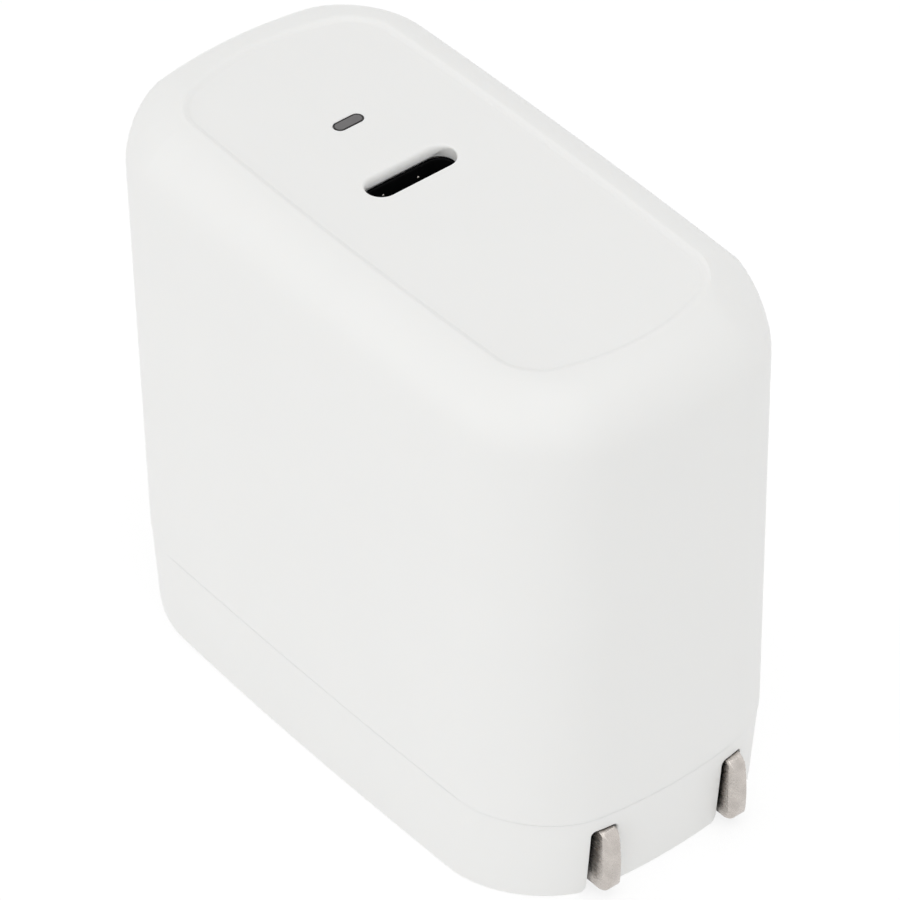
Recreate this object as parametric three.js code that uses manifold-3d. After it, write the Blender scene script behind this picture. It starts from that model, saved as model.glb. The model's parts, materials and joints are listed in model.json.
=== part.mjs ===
// Compact laptop power adapter: a wall-plug charger with one USB-C port and two folding blades.
// Millimetres, +Z up. X runs along the case towards the blade tips, Y across the case.
// The origin is the centre of the underside. At rest the blades are folded into the base.

import * as THREE from 'three';
import { mergeVertices } from 'three/addons/utils/BufferGeometryUtils.js';
import Module from 'manifold-3d';

const wasm = await Module();
wasm.setup();

// ---------------------------------------------------------------- sizes

// Clearances
const gap = 0.3; // between separate pieces
const pieceSpace = 0.8; // between neighbouring components on a board
const slotClearance = 0.35; // beside a folded blade
const slotHeadroom = 0.15; // over a folded blade
const windowClearance = 0.1; // around the status window

// Case outside
const caseLength = 52.3;
const caseDepth = 28.2;
const caseHeight = 50.9;
const cornerRadius = 7.1;
const topFillet = 5.0;
const endBulge = 2.35; // outward bow of each end wall
const sideBulge = 0.45; // outward bow of each long wall
const endDraft = 0.5; // each end leans in by this much from the shoulder to the seam
const baseTaper = 0.55; // each end of the base leans in by this much more
const baseEndBulge = 1.9; // bow of the end walls at the underside
const baseCornerExtra = 0.6; // the corners' radius grows by this much at the underside
const edgeChamfer = 0.25; // round the underside

// Case walls
const wall = 1.8;
const topWall = 1.05;
const baseFloor = 1.8;
const seamHeight = 8.6;
const seamGap = 0.3;
const tongueWall = 1.5;
const tongueRise = 2.6; // how far the base reaches up inside the main housing

// Top panel
const panelInset = 4.35;
const panelEndExtra = 0.45;
const panelDepth = 0.3;
const panelEdge = 0.12; // width of the sloping edge of the recess

// Port and status window
const portX = -3.45;
const portY = -0.29;
const portWidth = 8.45; // across the case
const portDepth = 2.8;
const windowX = -11.32;
const windowY = -0.16;
const windowWidth = 2.8; // across the case
const windowDepth = 1.2;
const collarWall = 0.9;
const collarDrop = 0.9;

// USB-C receptacle
const shellWidth = 8.94;
const shellDepth = 3.16;
const shellWall = 0.3;
const shellLength = 7.35;
const tongueWidth = 6.69;
const tongueThickness = 0.7;
const tongueSetback = 0.9; // from the mouth of the shell to the end of the tongue
const insulatorLength = 2.2;
const insulatorFit = 0.15;
const contactThickness = 0.15;
const contactWidth = 0.5;
const contactPitch = 1.5;
const contactCount = 4;
const contactLength = 2.6;
const contactBar = 0.5;
const contactLift = 0.1; // off the tongue
const legWidth = 1.1;
const legLength = 1.7;
const legPlaces = [0.25, 0.75]; // along the shell

// Folding blades
const bladeSpacing = 12.7; // centre to centre
const bladeWidth = 6.35;
const bladeThickness = 1.5;
const bladeReach = 21.6; // from the pivot to the tip
const bladeFloor = 0.7; // folded blades lie this far above the underside
const bladeNose = 0.9; // how far the tip bows out past its corners
const bladeBevel = 0.9; // length of the bevels beside the tip
const bladeTipThickness = 0.8;
const neckWidth = 2.4; // the blade's root inside the carrier
const heelReach = 3.0; // the root's far end, which meets the contact spring when unfolded
const barrelRadius = 3.3;
const barrelOverhang = 2.0; // of the barrel past the middle of each blade
const pinRadius = 1.5;
const pinLength = 1.7;
const tipX = 28.6;
const pocketClearance = 0.4;
const shoulderClearance = 0.6;
const detentDepth = 0.6;
const detentLength = 5.0;
const detentSides = 12;

// Bearing block, retainer and springs
const deckRoof = 1.2; // over the blade slots
const slotWall = 1.2;
const blockMargin = 1.5; // of the bearing block past the carrier's pocket
const bossReach = 9.0; // of the screw bosses from the pivot
const bossHalfDepth = 3.2;
const railReach = 10.0; // of the rails under the contact springs
const retainerThickness = 1.25;
const springThickness = 0.3;
const springWidth = 3.0;
const screwShankRadius = 0.8;
const screwLength = 5.0;
const screwHeadRadius = 1.6;
const screwHeadHeight = 0.9;
const screwInset = 2.3; // from the end of a boss to its screw
const wireRadius = 0.6;
const wireLead = 2.5; // how far a wire runs on past its spring
const wireSpread = 2.0; // of the wires' ends either side of the choke's middle

// Boards
const boardThickness = 1.6;
const solderRoom = 1.1; // behind the main board
const ribOverlap = 0.8; // of the guide ribs over the board's edge
const ribThickness = 1.2;
const boardFootClearance = 1.0; // from the base's tongue to the board
const boardTopClearance = 3.0; // from the board to the top wall
const filmThickness = 0.25;
const portBoardThickness = 0.8;
const portBoardMargin = 1.5; // past the end of the receptacle
const portBoardHeight = 10.4;

// Components
const bulkClearance = 1.4; // from the bulk capacitors' tops to the heat spreader
const outputLength = 12.0;
const chokeDiameter = 11.4;
const chokeBore = 5.4;
const chokeThickness = 3.4;
const chokeWindingThickness = 0.8;
const chokeWindingSweep = 120; // degrees
const chokeBaseThickness = 1.4;
const chokeColumn = 6.5;
const xCapDepth = 11.5;
const coreHeight = 13.0;
const corePlate = 2.6;
const coreLeg = 1.9;
const bobbinWall = 0.7;
const bobbinLip = 0.6; // of the flanges past the winding
const windingThickness = 2.2;
const lowerStrip = 4.6; // for small parts below the transformer
const fuseRadius = 1.6;
const fuseLength = 9.0;
const yCapRadius = 3.0;
const yCapThickness = 2.8;
const optoWidth = 4.6;
const optoHeight = 3.4;
const optoThickness = 2.2;
const bridgeWidth = 7.6;
const bridgeHeight = 4.4;
const bridgeThickness = 2.4;
const switchWidth = 6.0;
const switchHeight = 5.0;
const switchThickness = 0.9;
const controllerWidth = 4.0;
const controllerHeight = 2.8;
const rectifierWidth = 4.6;
const rectifierHeight = 4.0;
const chipThickness = 0.9;
const headerLength = 7.5;
const headerReach = 2.5; // off the main board
const headerWidth = 2.5;
const ledWidth = 3.0;
const ledThickness = 1.0;
const pipeFlangeWidth = 3.8;
const pipeFlangeDepth = 2.2;
const pipeFlangeThickness = 0.8;
const pipeStemLength = 1.2;
const pipeArmThickness = 1.6;
const spreaderThickness = 0.6;
const spreaderMargin = 1.5;
const padWidth = 14.0;
const padHeight = 12.0;
const padThickness = 2.5;

// Smoothness
const cornerSteps = 6;
const longSteps = 5;
const endSteps = 5;
const filletSteps = 5;
const roundSides = 24;
const smallSides = 16;

// ---------------------------------------------------------------- places

const shoulderHeight = caseHeight - topFillet;
const panelFloor = caseHeight - panelDepth;
const cavityTop = panelFloor - topWall;
const shellMouth = cavityTop - gap;
const shellBack = shellMouth - shellLength;
const cavityHalfDepth = caseDepth / 2 - wall;
const cavityHalfLength = caseLength / 2 - endDraft - wall;
const cavityRadius = cornerRadius - wall;
const tongueInset = wall + gap;
const tongueTop = seamHeight + tongueRise;

const pivotX = tipX - bladeReach;
const pivotZ = bladeFloor + bladeWidth / 2;
const bladeY = bladeSpacing / 2;
const slotHalf = bladeThickness / 2 + slotClearance;
const slotTop = pivotZ + bladeWidth / 2 + slotHeadroom;
const deckTop = slotTop + deckRoof;
const pocketRadius = barrelRadius + pocketClearance;
const barrelHalf = bladeY + barrelOverhang;
const pocketHalf = barrelHalf + gap;
const blockReach = pocketRadius + blockMargin;
const pinTip = barrelHalf + pinLength;
const pinHoleRadius = pinRadius + gap;
const springSeat = deckTop + gap;
const springLevel = springSeat + springThickness / 2;
const springLow = pivotZ + barrelRadius + gap + springThickness / 2;
const retainerSole = springSeat + springThickness + gap;
const retainerTop = retainerSole + retainerThickness;
const screwReach = bossReach - screwInset;

const boardBack = -cavityHalfDepth + solderRoom;
const boardFace = boardBack + boardThickness;
const seat = boardFace + gap;
const boardHalf = cavityHalfLengthAt(boardBack) - gap;
const boardFoot = tongueTop + boardFootClearance;
const boardTop = cavityTop - boardTopClearance;
const ribReach = boardHalf - ribOverlap;

// The port board stands across the case, behind the receptacle and square to the main board.
const portBoardFace = portX - shellDepth / 2 - gap;
const portBoardBack = portBoardFace - portBoardThickness;
const portBoardX = (portBoardFace + portBoardBack) / 2;
const portBoardNear = seat + headerReach + gap;
const portBoardFar = portY + shellWidth / 2 + portBoardMargin;
const portBoardTop = cavityTop - collarDrop - gap;
const portBoardFoot = portBoardTop - portBoardHeight;
const bridgeX = portBoardX - headerWidth / 2 - pieceSpace - bridgeWidth / 2;
const switchX = portBoardX + headerWidth / 2 + pieceSpace + switchWidth / 2;
const pipeTop = cavityTop - gap;
const pipeArmTop = pipeTop - pipeFlangeThickness - pipeStemLength;
const pipeArmFoot = pipeArmTop - pipeArmThickness;
const spreaderFace = cavityHalfDepth - gap;
const spreaderBack = spreaderFace - spreaderThickness;
const columnsStart = -ribReach + gap;
const columnsEnd = ribReach - gap - pieceSpace;

// The bulk capacitors share the height between the two boards' feet.
const bulkDiameter = (portBoardFoot - boardFoot - 3 * pieceSpace) / 2;
const bulkLength = spreaderBack - bulkClearance - seat;
const bulkX = columnsStart + bulkDiameter / 2;
const bulkLowZ = boardFoot + pieceSpace + bulkDiameter / 2;
const bulkHighZ = bulkLowZ + bulkDiameter + pieceSpace;
const chokeX = bulkX + bulkDiameter / 2 + pieceSpace + chokeColumn / 2;
const chokeZ = boardFoot + 4 * wireRadius + pieceSpace + chokeDiameter / 2;
const xCapFoot = chokeZ + chokeDiameter / 2 + chokeWindingThickness + pieceSpace;
const xCapHeight = portBoardFoot - pieceSpace - xCapFoot;

// Two output capacitors share the length beside the power switch.
const outputStart = switchX + switchWidth / 2 + pieceSpace;
const outputDiameter = (columnsEnd - outputStart - pieceSpace) / 2;
const outputFoot = boardTop - gap - outputDiameter;
const outputLeftX = outputStart + outputDiameter / 2;
const outputRightX = columnsEnd - outputDiameter / 2;

// The transformer fills the rest of the board's length, as high as the room under those allows.
const coreLeft = chokeX + chokeColumn / 2 + pieceSpace;
const coreWidth = columnsEnd - coreLeft;
const coreX = (columnsEnd + coreLeft) / 2;
const bobbinRoomWidth = coreWidth - 2 * coreLeg - 2 * gap;
const bobbinRoomHeight = outputFoot - pieceSpace - boardFoot - lowerStrip;
const bobbinRadius = Math.min(bobbinRoomWidth, bobbinRoomHeight) / 2;
const windingRadius = bobbinRadius - bobbinLip;
const corePostRadius = windingRadius - windingThickness - bobbinWall - 2 * gap;
const coreZ = boardFoot + lowerStrip + Math.max(bobbinRadius, coreHeight / 2);
const coreDepth = spreaderBack - padThickness - 2 * gap - seat;
const coreMiddle = seat + coreDepth / 2;
const bobbinHalf = coreDepth / 2 - corePlate - gap;
const chokeY = seat + chokeBaseThickness + gap + chokeWindingThickness + chokeDiameter / 2;
const stripZ = boardFoot + lowerStrip / 2;
const fuseX = coreLeft + pieceSpace + fuseRadius;
const yCapX = fuseX + fuseRadius + pieceSpace + yCapRadius;
const optoX = yCapX + yCapRadius + pieceSpace + optoWidth / 2;

// Half length of the case's cavity at a distance y from the middle, at its narrowest height.
function cavityHalfLengthAt(y) {
  const reach = Math.max(Math.abs(y) - (cavityHalfDepth - cavityRadius), 0);
  return cavityHalfLength - cavityRadius + Math.sqrt(cavityRadius ** 2 - reach ** 2);
}

// ---------------------------------------------------------------- shapes

// A closed mesh as a solid that can be joined and cut.
function toSolid(geometry) {
  geometry.deleteAttribute('normal');
  geometry.deleteAttribute('uv');
  const merged = mergeVertices(geometry, 1e-5);
  const vertProperties = new Float32Array(merged.attributes.position.array);
  const triVerts = new Uint32Array(merged.index.array);
  return new wasm.Manifold(new wasm.Mesh({ numProp: 3, vertProperties, triVerts }));
}

// A box between two limits on each axis.
function block([x0, x1], [y0, y1], [z0, z1]) {
  const geometry = new THREE.BoxGeometry(x1 - x0, y1 - y0, z1 - z0);
  geometry.translate((x0 + x1) / 2, (y0 + y1) / 2, (z0 + z1) / 2);
  return toSolid(geometry);
}

// Limits at equal distances either side of a centre.
function about(centre, half) {
  return [centre - half, centre + half];
}

// Two limits with the lower first.
function ordered(a, b) {
  return [Math.min(a, b), Math.max(a, b)];
}

// A round bar along Y between two limits.
function barY(radius, [y0, y1], x, z, sides = roundSides) {
  const geometry = new THREE.CylinderGeometry(radius, radius, y1 - y0, sides);
  geometry.translate(x, (y0 + y1) / 2, z);
  return toSolid(geometry);
}

// A round bar along Z between two limits.
function barZ(radius, [z0, z1], x, y, sides = smallSides) {
  const geometry = new THREE.CylinderGeometry(radius, radius, z1 - z0, sides);
  geometry.rotateX(Math.PI / 2);
  geometry.translate(x, y, (z0 + z1) / 2);
  return toSolid(geometry);
}

// A slot with round ends, its width along Y and its depth along X, running up Z between two limits.
function slotZ(width, depth, [z0, z1], x, y) {
  const radius = depth / 2;
  const straight = width / 2 - radius;
  const shape = new THREE.Shape();
  shape.absarc(straight, 0, radius, -Math.PI / 2, Math.PI / 2);
  shape.absarc(-straight, 0, radius, Math.PI / 2, (3 * Math.PI) / 2);
  const options = { depth: z1 - z0, bevelEnabled: false, curveSegments: 8 };
  const geometry = new THREE.ExtrudeGeometry(shape, options);
  geometry.rotateZ(Math.PI / 2);
  geometry.translate(x, y, z0);
  return toSolid(geometry);
}

// A profile drawn in X and Z, with a thickness along Y centred on y.
function plateY(shape, thickness, y) {
  const options = { depth: thickness, bevelEnabled: false, curveSegments: 6 };
  const geometry = new THREE.ExtrudeGeometry(shape, options);
  geometry.rotateX(Math.PI / 2);
  geometry.translate(0, y + thickness / 2, 0);
  return toSolid(geometry);
}

// A bent strip whose middle line runs through points given as [x, z].
function stripY(line, thickness, width, y) {
  const points = line.map(([x, z]) => new THREE.Vector2(x, z));
  const sides = points.map((point, i) => {
    const before = points[Math.max(i - 1, 0)];
    const after = points[Math.min(i + 1, points.length - 1)];
    const along = after.clone().sub(before).normalize();
    return new THREE.Vector2(-along.y, along.x).multiplyScalar(thickness / 2);
  });
  const upper = points.map((point, i) => point.clone().add(sides[i]));
  const lower = points.map((point, i) => point.clone().sub(sides[i])).reverse();
  return plateY(new THREE.Shape([...upper, ...lower]), width, y);
}

// An insulated wire through a list of points.
function wire(points) {
  const path = new THREE.CatmullRomCurve3(points.map((point) => new THREE.Vector3(...point)));
  const shape = new THREE.Shape().absarc(0, 0, wireRadius, 0, 2 * Math.PI);
  const options = { steps: 20, extrudePath: path, curveSegments: 4, bevelEnabled: false };
  return toSolid(new THREE.ExtrudeGeometry(shape, options));
}

// A rounded rectangle whose sides bow outwards, as points counter-clockwise from +X.
function outline(halfX, halfY, radius, bowX, bowY) {
  const corners = [[1, 1, longSteps], [-1, 1, endSteps], [-1, -1, longSteps], [1, -1, endSteps]];
  const points = [];
  corners.forEach(([sideX, sideY, steps], quarter) => {
    for (let i = 0; i <= cornerSteps; i += 1) {
      const angle = ((quarter + i / cornerSteps) * Math.PI) / 2;
      const x = sideX * (halfX - radius) + radius * Math.cos(angle);
      const y = sideY * (halfY - radius) + radius * Math.sin(angle);
      points.push(new THREE.Vector2(x, y));
    }
    const start = points[points.length - 1];
    const turn = new THREE.Vector2(-start.x, start.y);
    const end = quarter % 2 === 0 ? turn : new THREE.Vector2(start.x, -start.y);
    for (let i = 1; i < steps; i += 1) {
      points.push(start.clone().lerp(end, i / steps));
    }
  });
  return points.map(({ x, y }) => new THREE.Vector2(
    x * (1 + (bowX / halfX) * (1 - (y / halfY) ** 2)),
    y * (1 + (bowY / halfY) * (1 - (x / halfX) ** 2)),
  ));
}

// The case's section at a height, set in from its outer face.
function caseSection(z, inset = 0, endExtra = 0) {
  const lean = THREE.MathUtils.clamp((shoulderHeight - z) / (shoulderHeight - seamHeight), 0, 1);
  const drop = THREE.MathUtils.clamp((seamHeight - z) / seamHeight, 0, 1);
  const halfX = caseLength / 2 - endDraft * lean - baseTaper * drop - inset - endExtra;
  const halfY = caseDepth / 2 - inset;
  const bow = THREE.MathUtils.lerp(endBulge, baseEndBulge, drop);
  const radius = cornerRadius + baseCornerExtra * drop - inset;
  return outline(halfX, halfY, radius, bow, sideBulge).map(({ x, y }) => new THREE.Vector3(x, y, z));
}

// Sections up a rounded shoulder that starts at a height and turns in by up to its radius.
function shoulderSections(start, radius, inset, turnedIn) {
  const sweep = Math.acos(Math.max(1 - turnedIn / radius, 0));
  const sections = [];
  for (let i = 0; i <= filletSteps; i += 1) {
    const angle = (sweep * i) / filletSteps;
    const z = start + radius * Math.sin(angle);
    sections.push(caseSection(z, inset + radius * (1 - Math.cos(angle))));
  }
  return sections;
}

// A solid through a stack of sections with equal numbers of points.
function loft(sections) {
  const count = sections[0].length;
  const positions = sections.flat().flatMap(({ x, y, z }) => [x, y, z]);
  const floor = sections.length * count;
  positions.push(0, 0, sections[0][0].z, 0, 0, sections[sections.length - 1][0].z);
  const index = [];
  for (let j = 0; j < count; j += 1) {
    const next = (j + 1) % count;
    for (let i = 0; i + 1 < sections.length; i += 1) {
      const lower = i * count;
      const upper = lower + count;
      index.push(lower + j, lower + next, upper + next, lower + j, upper + next, upper + j);
    }
    const last = (sections.length - 1) * count;
    index.push(floor, next, j, floor + 1, last + j, last + next);
  }
  const geometry = new THREE.BufferGeometry();
  geometry.setAttribute('position', new THREE.Float32BufferAttribute(positions, 3));
  geometry.setIndex(index);
  return toSolid(geometry);
}

function join(solids) {
  return solids.reduce((whole, solid) => whole.add(solid));
}

// ---------------------------------------------------------------- case

// Everything inside a line midway through the main housing's wall.
function housingCore() {
  return loft([caseSection(seamHeight, wall / 2), caseSection(cavityTop + topWall / 2, topFillet / 2)]);
}

function guideRibs() {
  const height = [boardFoot, cavityTop + topWall / 2];
  const front = [boardFace + gap, boardFace + gap + ribThickness];
  const back = [-caseDepth, boardBack - gap];
  const ribs = [-1, 1].flatMap((side) => {
    const reach = side < 0 ? [-caseLength, -ribReach] : [ribReach, caseLength];
    return [block(reach, front, height), block(reach, back, height)];
  });
  return join(ribs).intersect(housingCore());
}

function mainHousing() {
  const seam = seamHeight + seamGap / 2;
  const shoulder = shoulderSections(shoulderHeight, topFillet, 0, panelInset);
  const rim = shoulder[shoulder.length - 1][0].z;
  const outside = loft([
    caseSection(seam),
    ...shoulder,
    caseSection(rim, panelInset, panelEndExtra),
    caseSection(panelFloor, panelInset + panelEdge, panelEndExtra),
  ]);
  const innerFillet = topFillet - wall;
  const inside = loft([
    caseSection(seam - gap, wall),
    ...shoulderSections(cavityTop - innerFillet, innerFillet, wall, innerFillet),
  ]);
  const collarHeight = [cavityTop - collarDrop, cavityTop + topWall / 2];
  const roomWidth = shellWidth + 2 * gap;
  const roomDepth = shellDepth + 2 * gap;
  const shellRoom = slotZ(roomWidth, roomDepth, [0, cavityTop], portX, portY);
  const collarWidth = roomWidth + 2 * collarWall;
  const collar = slotZ(collarWidth, roomDepth + 2 * collarWall, collarHeight, portX, portY);
  const port = slotZ(portWidth, portDepth, [cavityTop - gap, caseHeight], portX, portY);
  const window = slotZ(windowWidth, windowDepth, [cavityTop - gap, caseHeight], windowX, windowY);
  const hollow = outside.subtract(inside);
  return join([hollow, guideRibs(), collar]).subtract(join([shellRoom, port, window]));
}

// Both blade slots, open at the underside and at the end wall.
function bladeSlots() {
  const length = [pivotX - pocketRadius, caseLength];
  const height = [-baseFloor, slotTop];
  return join([-1, 1].map((side) => block(length, about(side * bladeY, slotHalf), height)));
}

// The room for the carrier's barrel and for its two pins, open at the top.
function carrierRoom() {
  const top = [pivotZ, deckTop + gap];
  const pocket = block(about(pivotX, pocketRadius), about(0, pocketHalf), [-baseFloor, deckTop + gap]);
  const holes = barY(pinHoleRadius, about(0, pinTip + gap), pivotX, pivotZ);
  const pinSlots = block(about(pivotX, pinHoleRadius), about(0, pinTip + gap), top);
  return join([pocket, holes, pinSlots]);
}

// Relief in the tongue's inner face for the ends of the retainer.
function retainerRoom() {
  const height = [deckTop, tongueTop + gap];
  return block(about(pivotX, pocketRadius + gap), about(0, pinTip + gap), height);
}

// The solid parts of the base that carry the hinge, the springs and the blades' slots.
function baseDeck() {
  const height = [baseFloor / 2, deckTop];
  const bearing = block(about(pivotX, blockReach), about(0, caseDepth), height);
  const boss = block(about(pivotX, bossReach), about(0, bossHalfDepth), height);
  const sides = [-1, 1].flatMap((side) => {
    const channel = block([pivotX, caseLength], about(side * bladeY, slotHalf + slotWall), height);
    const rail = block([pivotX - railReach, pivotX], about(side * bladeY, springWidth / 2), height);
    return [channel, rail];
  });
  return join([bearing, boss, ...sides]);
}

function screwHole(x) {
  const depth = [deckTop - screwLength, retainerTop + gap];
  return barZ(screwShankRadius + gap, depth, x, 0);
}

function baseCover() {
  const skin = loft([
    caseSection(0, edgeChamfer),
    caseSection(edgeChamfer),
    caseSection(seamHeight - seamGap / 2),
  ]);
  const tongue = loft([caseSection(baseFloor, tongueInset), caseSection(tongueTop, tongueInset)]);
  const roomInset = tongueInset + tongueWall;
  const room = loft([caseSection(baseFloor, roomInset), caseSection(tongueTop + gap, roomInset)]);
  const limits = loft([caseSection(0, wall / 2), caseSection(seamHeight, wall / 2)]);
  const deck = baseDeck().intersect(limits);
  const holes = join([screwHole(pivotX - screwReach), screwHole(pivotX + screwReach)]);
  const cuts = join([bladeSlots(), carrierRoom(), retainerRoom(), holes]);
  return join([skin, tongue]).subtract(room).add(deck).subtract(cuts);
}

// ---------------------------------------------------------------- folding plug

// Both bevels beside a blade's tip, as what they leave of a wider bar.
function tipTaper() {
  const half = bladeThickness / 2;
  const slope = (half - bladeTipThickness / 2) / bladeBevel;
  const end = bladeReach + gap;
  const start = bladeReach - bladeBevel - half / slope;
  const endHalf = half - (bladeBevel + gap) * slope;
  const shape = new THREE.Shape();
  shape.moveTo(-heelReach - gap, -2 * half);
  shape.lineTo(start, -2 * half);
  shape.lineTo(end, -endHalf);
  shape.lineTo(end, endHalf);
  shape.lineTo(start, 2 * half);
  shape.lineTo(-heelReach - gap, 2 * half);
  shape.closePath();
  const geometry = new THREE.ExtrudeGeometry(shape, { depth: 2 * bladeWidth, bevelEnabled: false });
  geometry.translate(0, 0, -bladeWidth);
  return toSolid(geometry);
}

// The blade: a narrow root inside the carrier, then the full width to a bowed tip.
function blade(side) {
  const shoulder = barrelRadius + shoulderClearance;
  const half = bladeWidth / 2;
  const noseRadius = (half ** 2 + bladeNose ** 2) / (2 * bladeNose);
  const noseAngle = Math.asin(half / noseRadius);
  const shape = new THREE.Shape();
  shape.moveTo(-heelReach, -neckWidth / 2);
  shape.lineTo(shoulder, -neckWidth / 2);
  shape.lineTo(shoulder, -half);
  shape.lineTo(bladeReach - bladeNose, -half);
  shape.absarc(bladeReach - noseRadius, 0, noseRadius, -noseAngle, noseAngle);
  shape.lineTo(shoulder, half);
  shape.lineTo(shoulder, neckWidth / 2);
  shape.lineTo(-heelReach, neckWidth / 2);
  shape.closePath();
  const bar = plateY(shape, bladeThickness, 0).intersect(tipTaper());
  return bar.translate(pivotX, side * bladeY, pivotZ);
}

// The moulded barrel that holds both blades and turns on its end pins.
function prongCarrier() {
  const barrel = barY(barrelRadius, about(0, barrelHalf), pivotX, pivotZ, 2 * roundSides);
  const pins = barY(pinRadius, about(0, pinTip), pivotX, pivotZ);
  const rootHalf = neckWidth / 2 + gap;
  const roots = [-1, 1].map((side) => block(
    about(pivotX, barrelRadius + gap),
    about(side * bladeY, bladeThickness / 2 + gap),
    about(pivotZ, rootHalf),
  ));
  const top = detentGroove(0, barrelRadius);
  const back = detentGroove(-barrelRadius, 0);
  return join([barrel, pins]).subtract(join([...roots, top, back]));
}

// A shallow round groove in the barrel that the detent spring drops into.
function detentGroove(x, z) {
  return barY(detentDepth, about(0, detentLength / 2), pivotX + x, pivotZ + z, detentSides);
}

function carrierRetainer() {
  const plate = [retainerSole, retainerTop];
  const foot = [springSeat, retainerTop];
  const across = block(about(pivotX, pocketRadius), about(0, pinTip), plate);
  const along = block(about(pivotX, bossReach), about(0, bossHalfDepth - gap), plate);
  const pads = [-1, 1].map((side) => {
    const pad = side < 0 ? [-bossReach, -blockReach] : [blockReach, bossReach];
    return block(pad.map((x) => x + pivotX), about(0, bossHalfDepth - gap), foot);
  });
  const feet = [-1, 1].flatMap((side) => {
    const outer = ordered(side * (pocketHalf + gap), side * pinTip);
    const leg = [pivotZ + pinRadius + gap, retainerTop];
    return [
      block(about(pivotX, pocketRadius), outer, foot),
      block(about(pivotX, pinHoleRadius - gap), outer, leg),
    ];
  });
  const holes = join([-1, 1].map((side) => screwHole(pivotX + side * screwReach)));
  return join([across, along, ...pads, ...feet]).subtract(holes);
}

// A leaf that lies on the rail and bends down over the blade's root.
function contactSpring(side) {
  const rail = pivotX - railReach + gap;
  const bend = pivotX - pocketRadius + gap;
  const line = [
    [rail, springLevel],
    [bend, springLevel],
    [pivotX - pinRadius, springLow],
    [pivotX + pinRadius, springLow],
    [pivotX + barrelRadius - pinRadius / 2, springLow + 2 * springThickness],
  ];
  return stripY(line, springThickness, springWidth - gap, side * bladeY);
}

// A bowed leaf under the retainer that clicks into the barrel's grooves.
function detentSpring() {
  const reach = pocketRadius - gap;
  const line = [
    [pivotX - reach, springLevel],
    [pivotX - reach / 2, (springLevel + springLow) / 2],
    [pivotX - gap, springLow],
    [pivotX + gap, springLow],
    [pivotX + reach / 2, (springLevel + springLow) / 2],
    [pivotX + reach, springLevel],
  ];
  return stripY(line, springThickness, detentLength - gap, 0);
}

function retainerScrew(side) {
  const x = pivotX + side * screwReach;
  const head = retainerTop + gap;
  const shank = barZ(screwShankRadius, [deckTop - screwLength + gap, head], x, 0);
  return shank.add(barZ(screwHeadRadius, [head, head + screwHeadHeight], x, 0));
}

// Wires run from the springs' ends up to the foot of the main board.
const wireStart = pivotX - railReach + 2 * wireRadius;
const wireLevel = springSeat + springThickness + gap + wireRadius;
const wireEnd = boardFoot + gap + wireRadius;

function wireNeutral() {
  const x = chokeX - wireSpread;
  return wire([
    [wireStart, -bladeY, wireLevel],
    [wireStart - wireLead, -bladeY, wireLevel + wireRadius],
    [x, -bladeY - wireRadius, wireEnd - 2 * wireRadius],
    [x, seat + 2 * wireRadius, wireEnd],
    [x, seat, wireEnd],
  ]);
}

function wireLine() {
  const x = chokeX + wireSpread;
  return wire([
    [wireStart, bladeY, wireLevel],
    [wireStart - wireLead, bladeY - wireLead, wireLevel + wireRadius],
    [wireStart - wireLead - wireRadius, 0, retainerTop],
    [x, -bladeY + 2 * wireRadius, wireEnd - wireRadius],
    [x, seat + 2 * wireRadius, wireEnd],
    [x, seat, wireEnd],
  ]);
}

// ---------------------------------------------------------------- port

function usbLegs(grow) {
  const legs = [-1, 1].flatMap((side) => legPlaces.map((part) => block(
    [portBoardFace + gap - legLength - grow, portX],
    about(portY + side * (shellWidth - shellWall) / 2, shellWall / 2 + grow),
    about(shellBack + part * shellLength, legWidth / 2 + grow),
  )));
  return join(legs);
}

function usbShell() {
  const outer = slotZ(shellWidth, shellDepth, [shellBack, shellMouth], portX, portY);
  const innerWidth = shellWidth - 2 * shellWall;
  const innerDepth = shellDepth - 2 * shellWall;
  const inner = slotZ(innerWidth, innerDepth, [shellBack - gap, shellMouth + gap], portX, portY);
  return outer.add(usbLegs(0)).subtract(inner);
}

function usbInsulator() {
  const width = shellWidth - 2 * shellWall - 2 * insulatorFit;
  const depth = shellDepth - 2 * shellWall - 2 * insulatorFit;
  const top = shellBack + insulatorLength;
  const back = slotZ(width, depth, [shellBack, top], portX, portY);
  const tongue = block(
    about(portX, tongueThickness / 2),
    about(portY, tongueWidth / 2),
    [shellBack, shellMouth - tongueSetback],
  );
  return back.add(tongue);
}

// One face's contacts, joined at the root.
function usbContacts(side) {
  const near = tongueThickness / 2 + contactLift;
  const depth = ordered(portX + side * near, portX + side * (near + contactThickness));
  const root = shellBack + insulatorLength + gap;
  const span = contactPitch * (contactCount - 1);
  const fingers = [];
  for (let i = 0; i < contactCount; i += 1) {
    const y = portY - span / 2 + i * contactPitch;
    fingers.push(block(depth, about(y, contactWidth / 2), [root, root + contactLength]));
  }
  const bar = block(depth, about(portY, (span + contactWidth) / 2), [root, root + contactBar]);
  return join([bar, ...fingers]);
}

function portBoard() {
  const thickness = [portBoardBack, portBoardFace];
  const board = block(thickness, [portBoardNear, portBoardFar], [portBoardFoot, portBoardTop]);
  return board.subtract(usbLegs(gap));
}

// The lens, its flange under the top wall, and an arm that leads over to the light.
function lightPipe() {
  const width = windowWidth - 2 * windowClearance;
  const depth = windowDepth - 2 * windowClearance;
  const lens = slotZ(width, depth, [pipeArmFoot, panelFloor], windowX, windowY);
  const flange = block(
    about(windowX, pipeFlangeDepth / 2),
    about(windowY, pipeFlangeWidth / 2),
    [pipeTop - pipeFlangeThickness, pipeTop],
  );
  const arm = block(
    [windowX, portBoardBack - 2 * gap - ledThickness],
    about(windowY, pipeFlangeDepth / 2),
    [pipeArmFoot, pipeArmTop],
  );
  return join([lens, flange, arm]);
}

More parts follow.
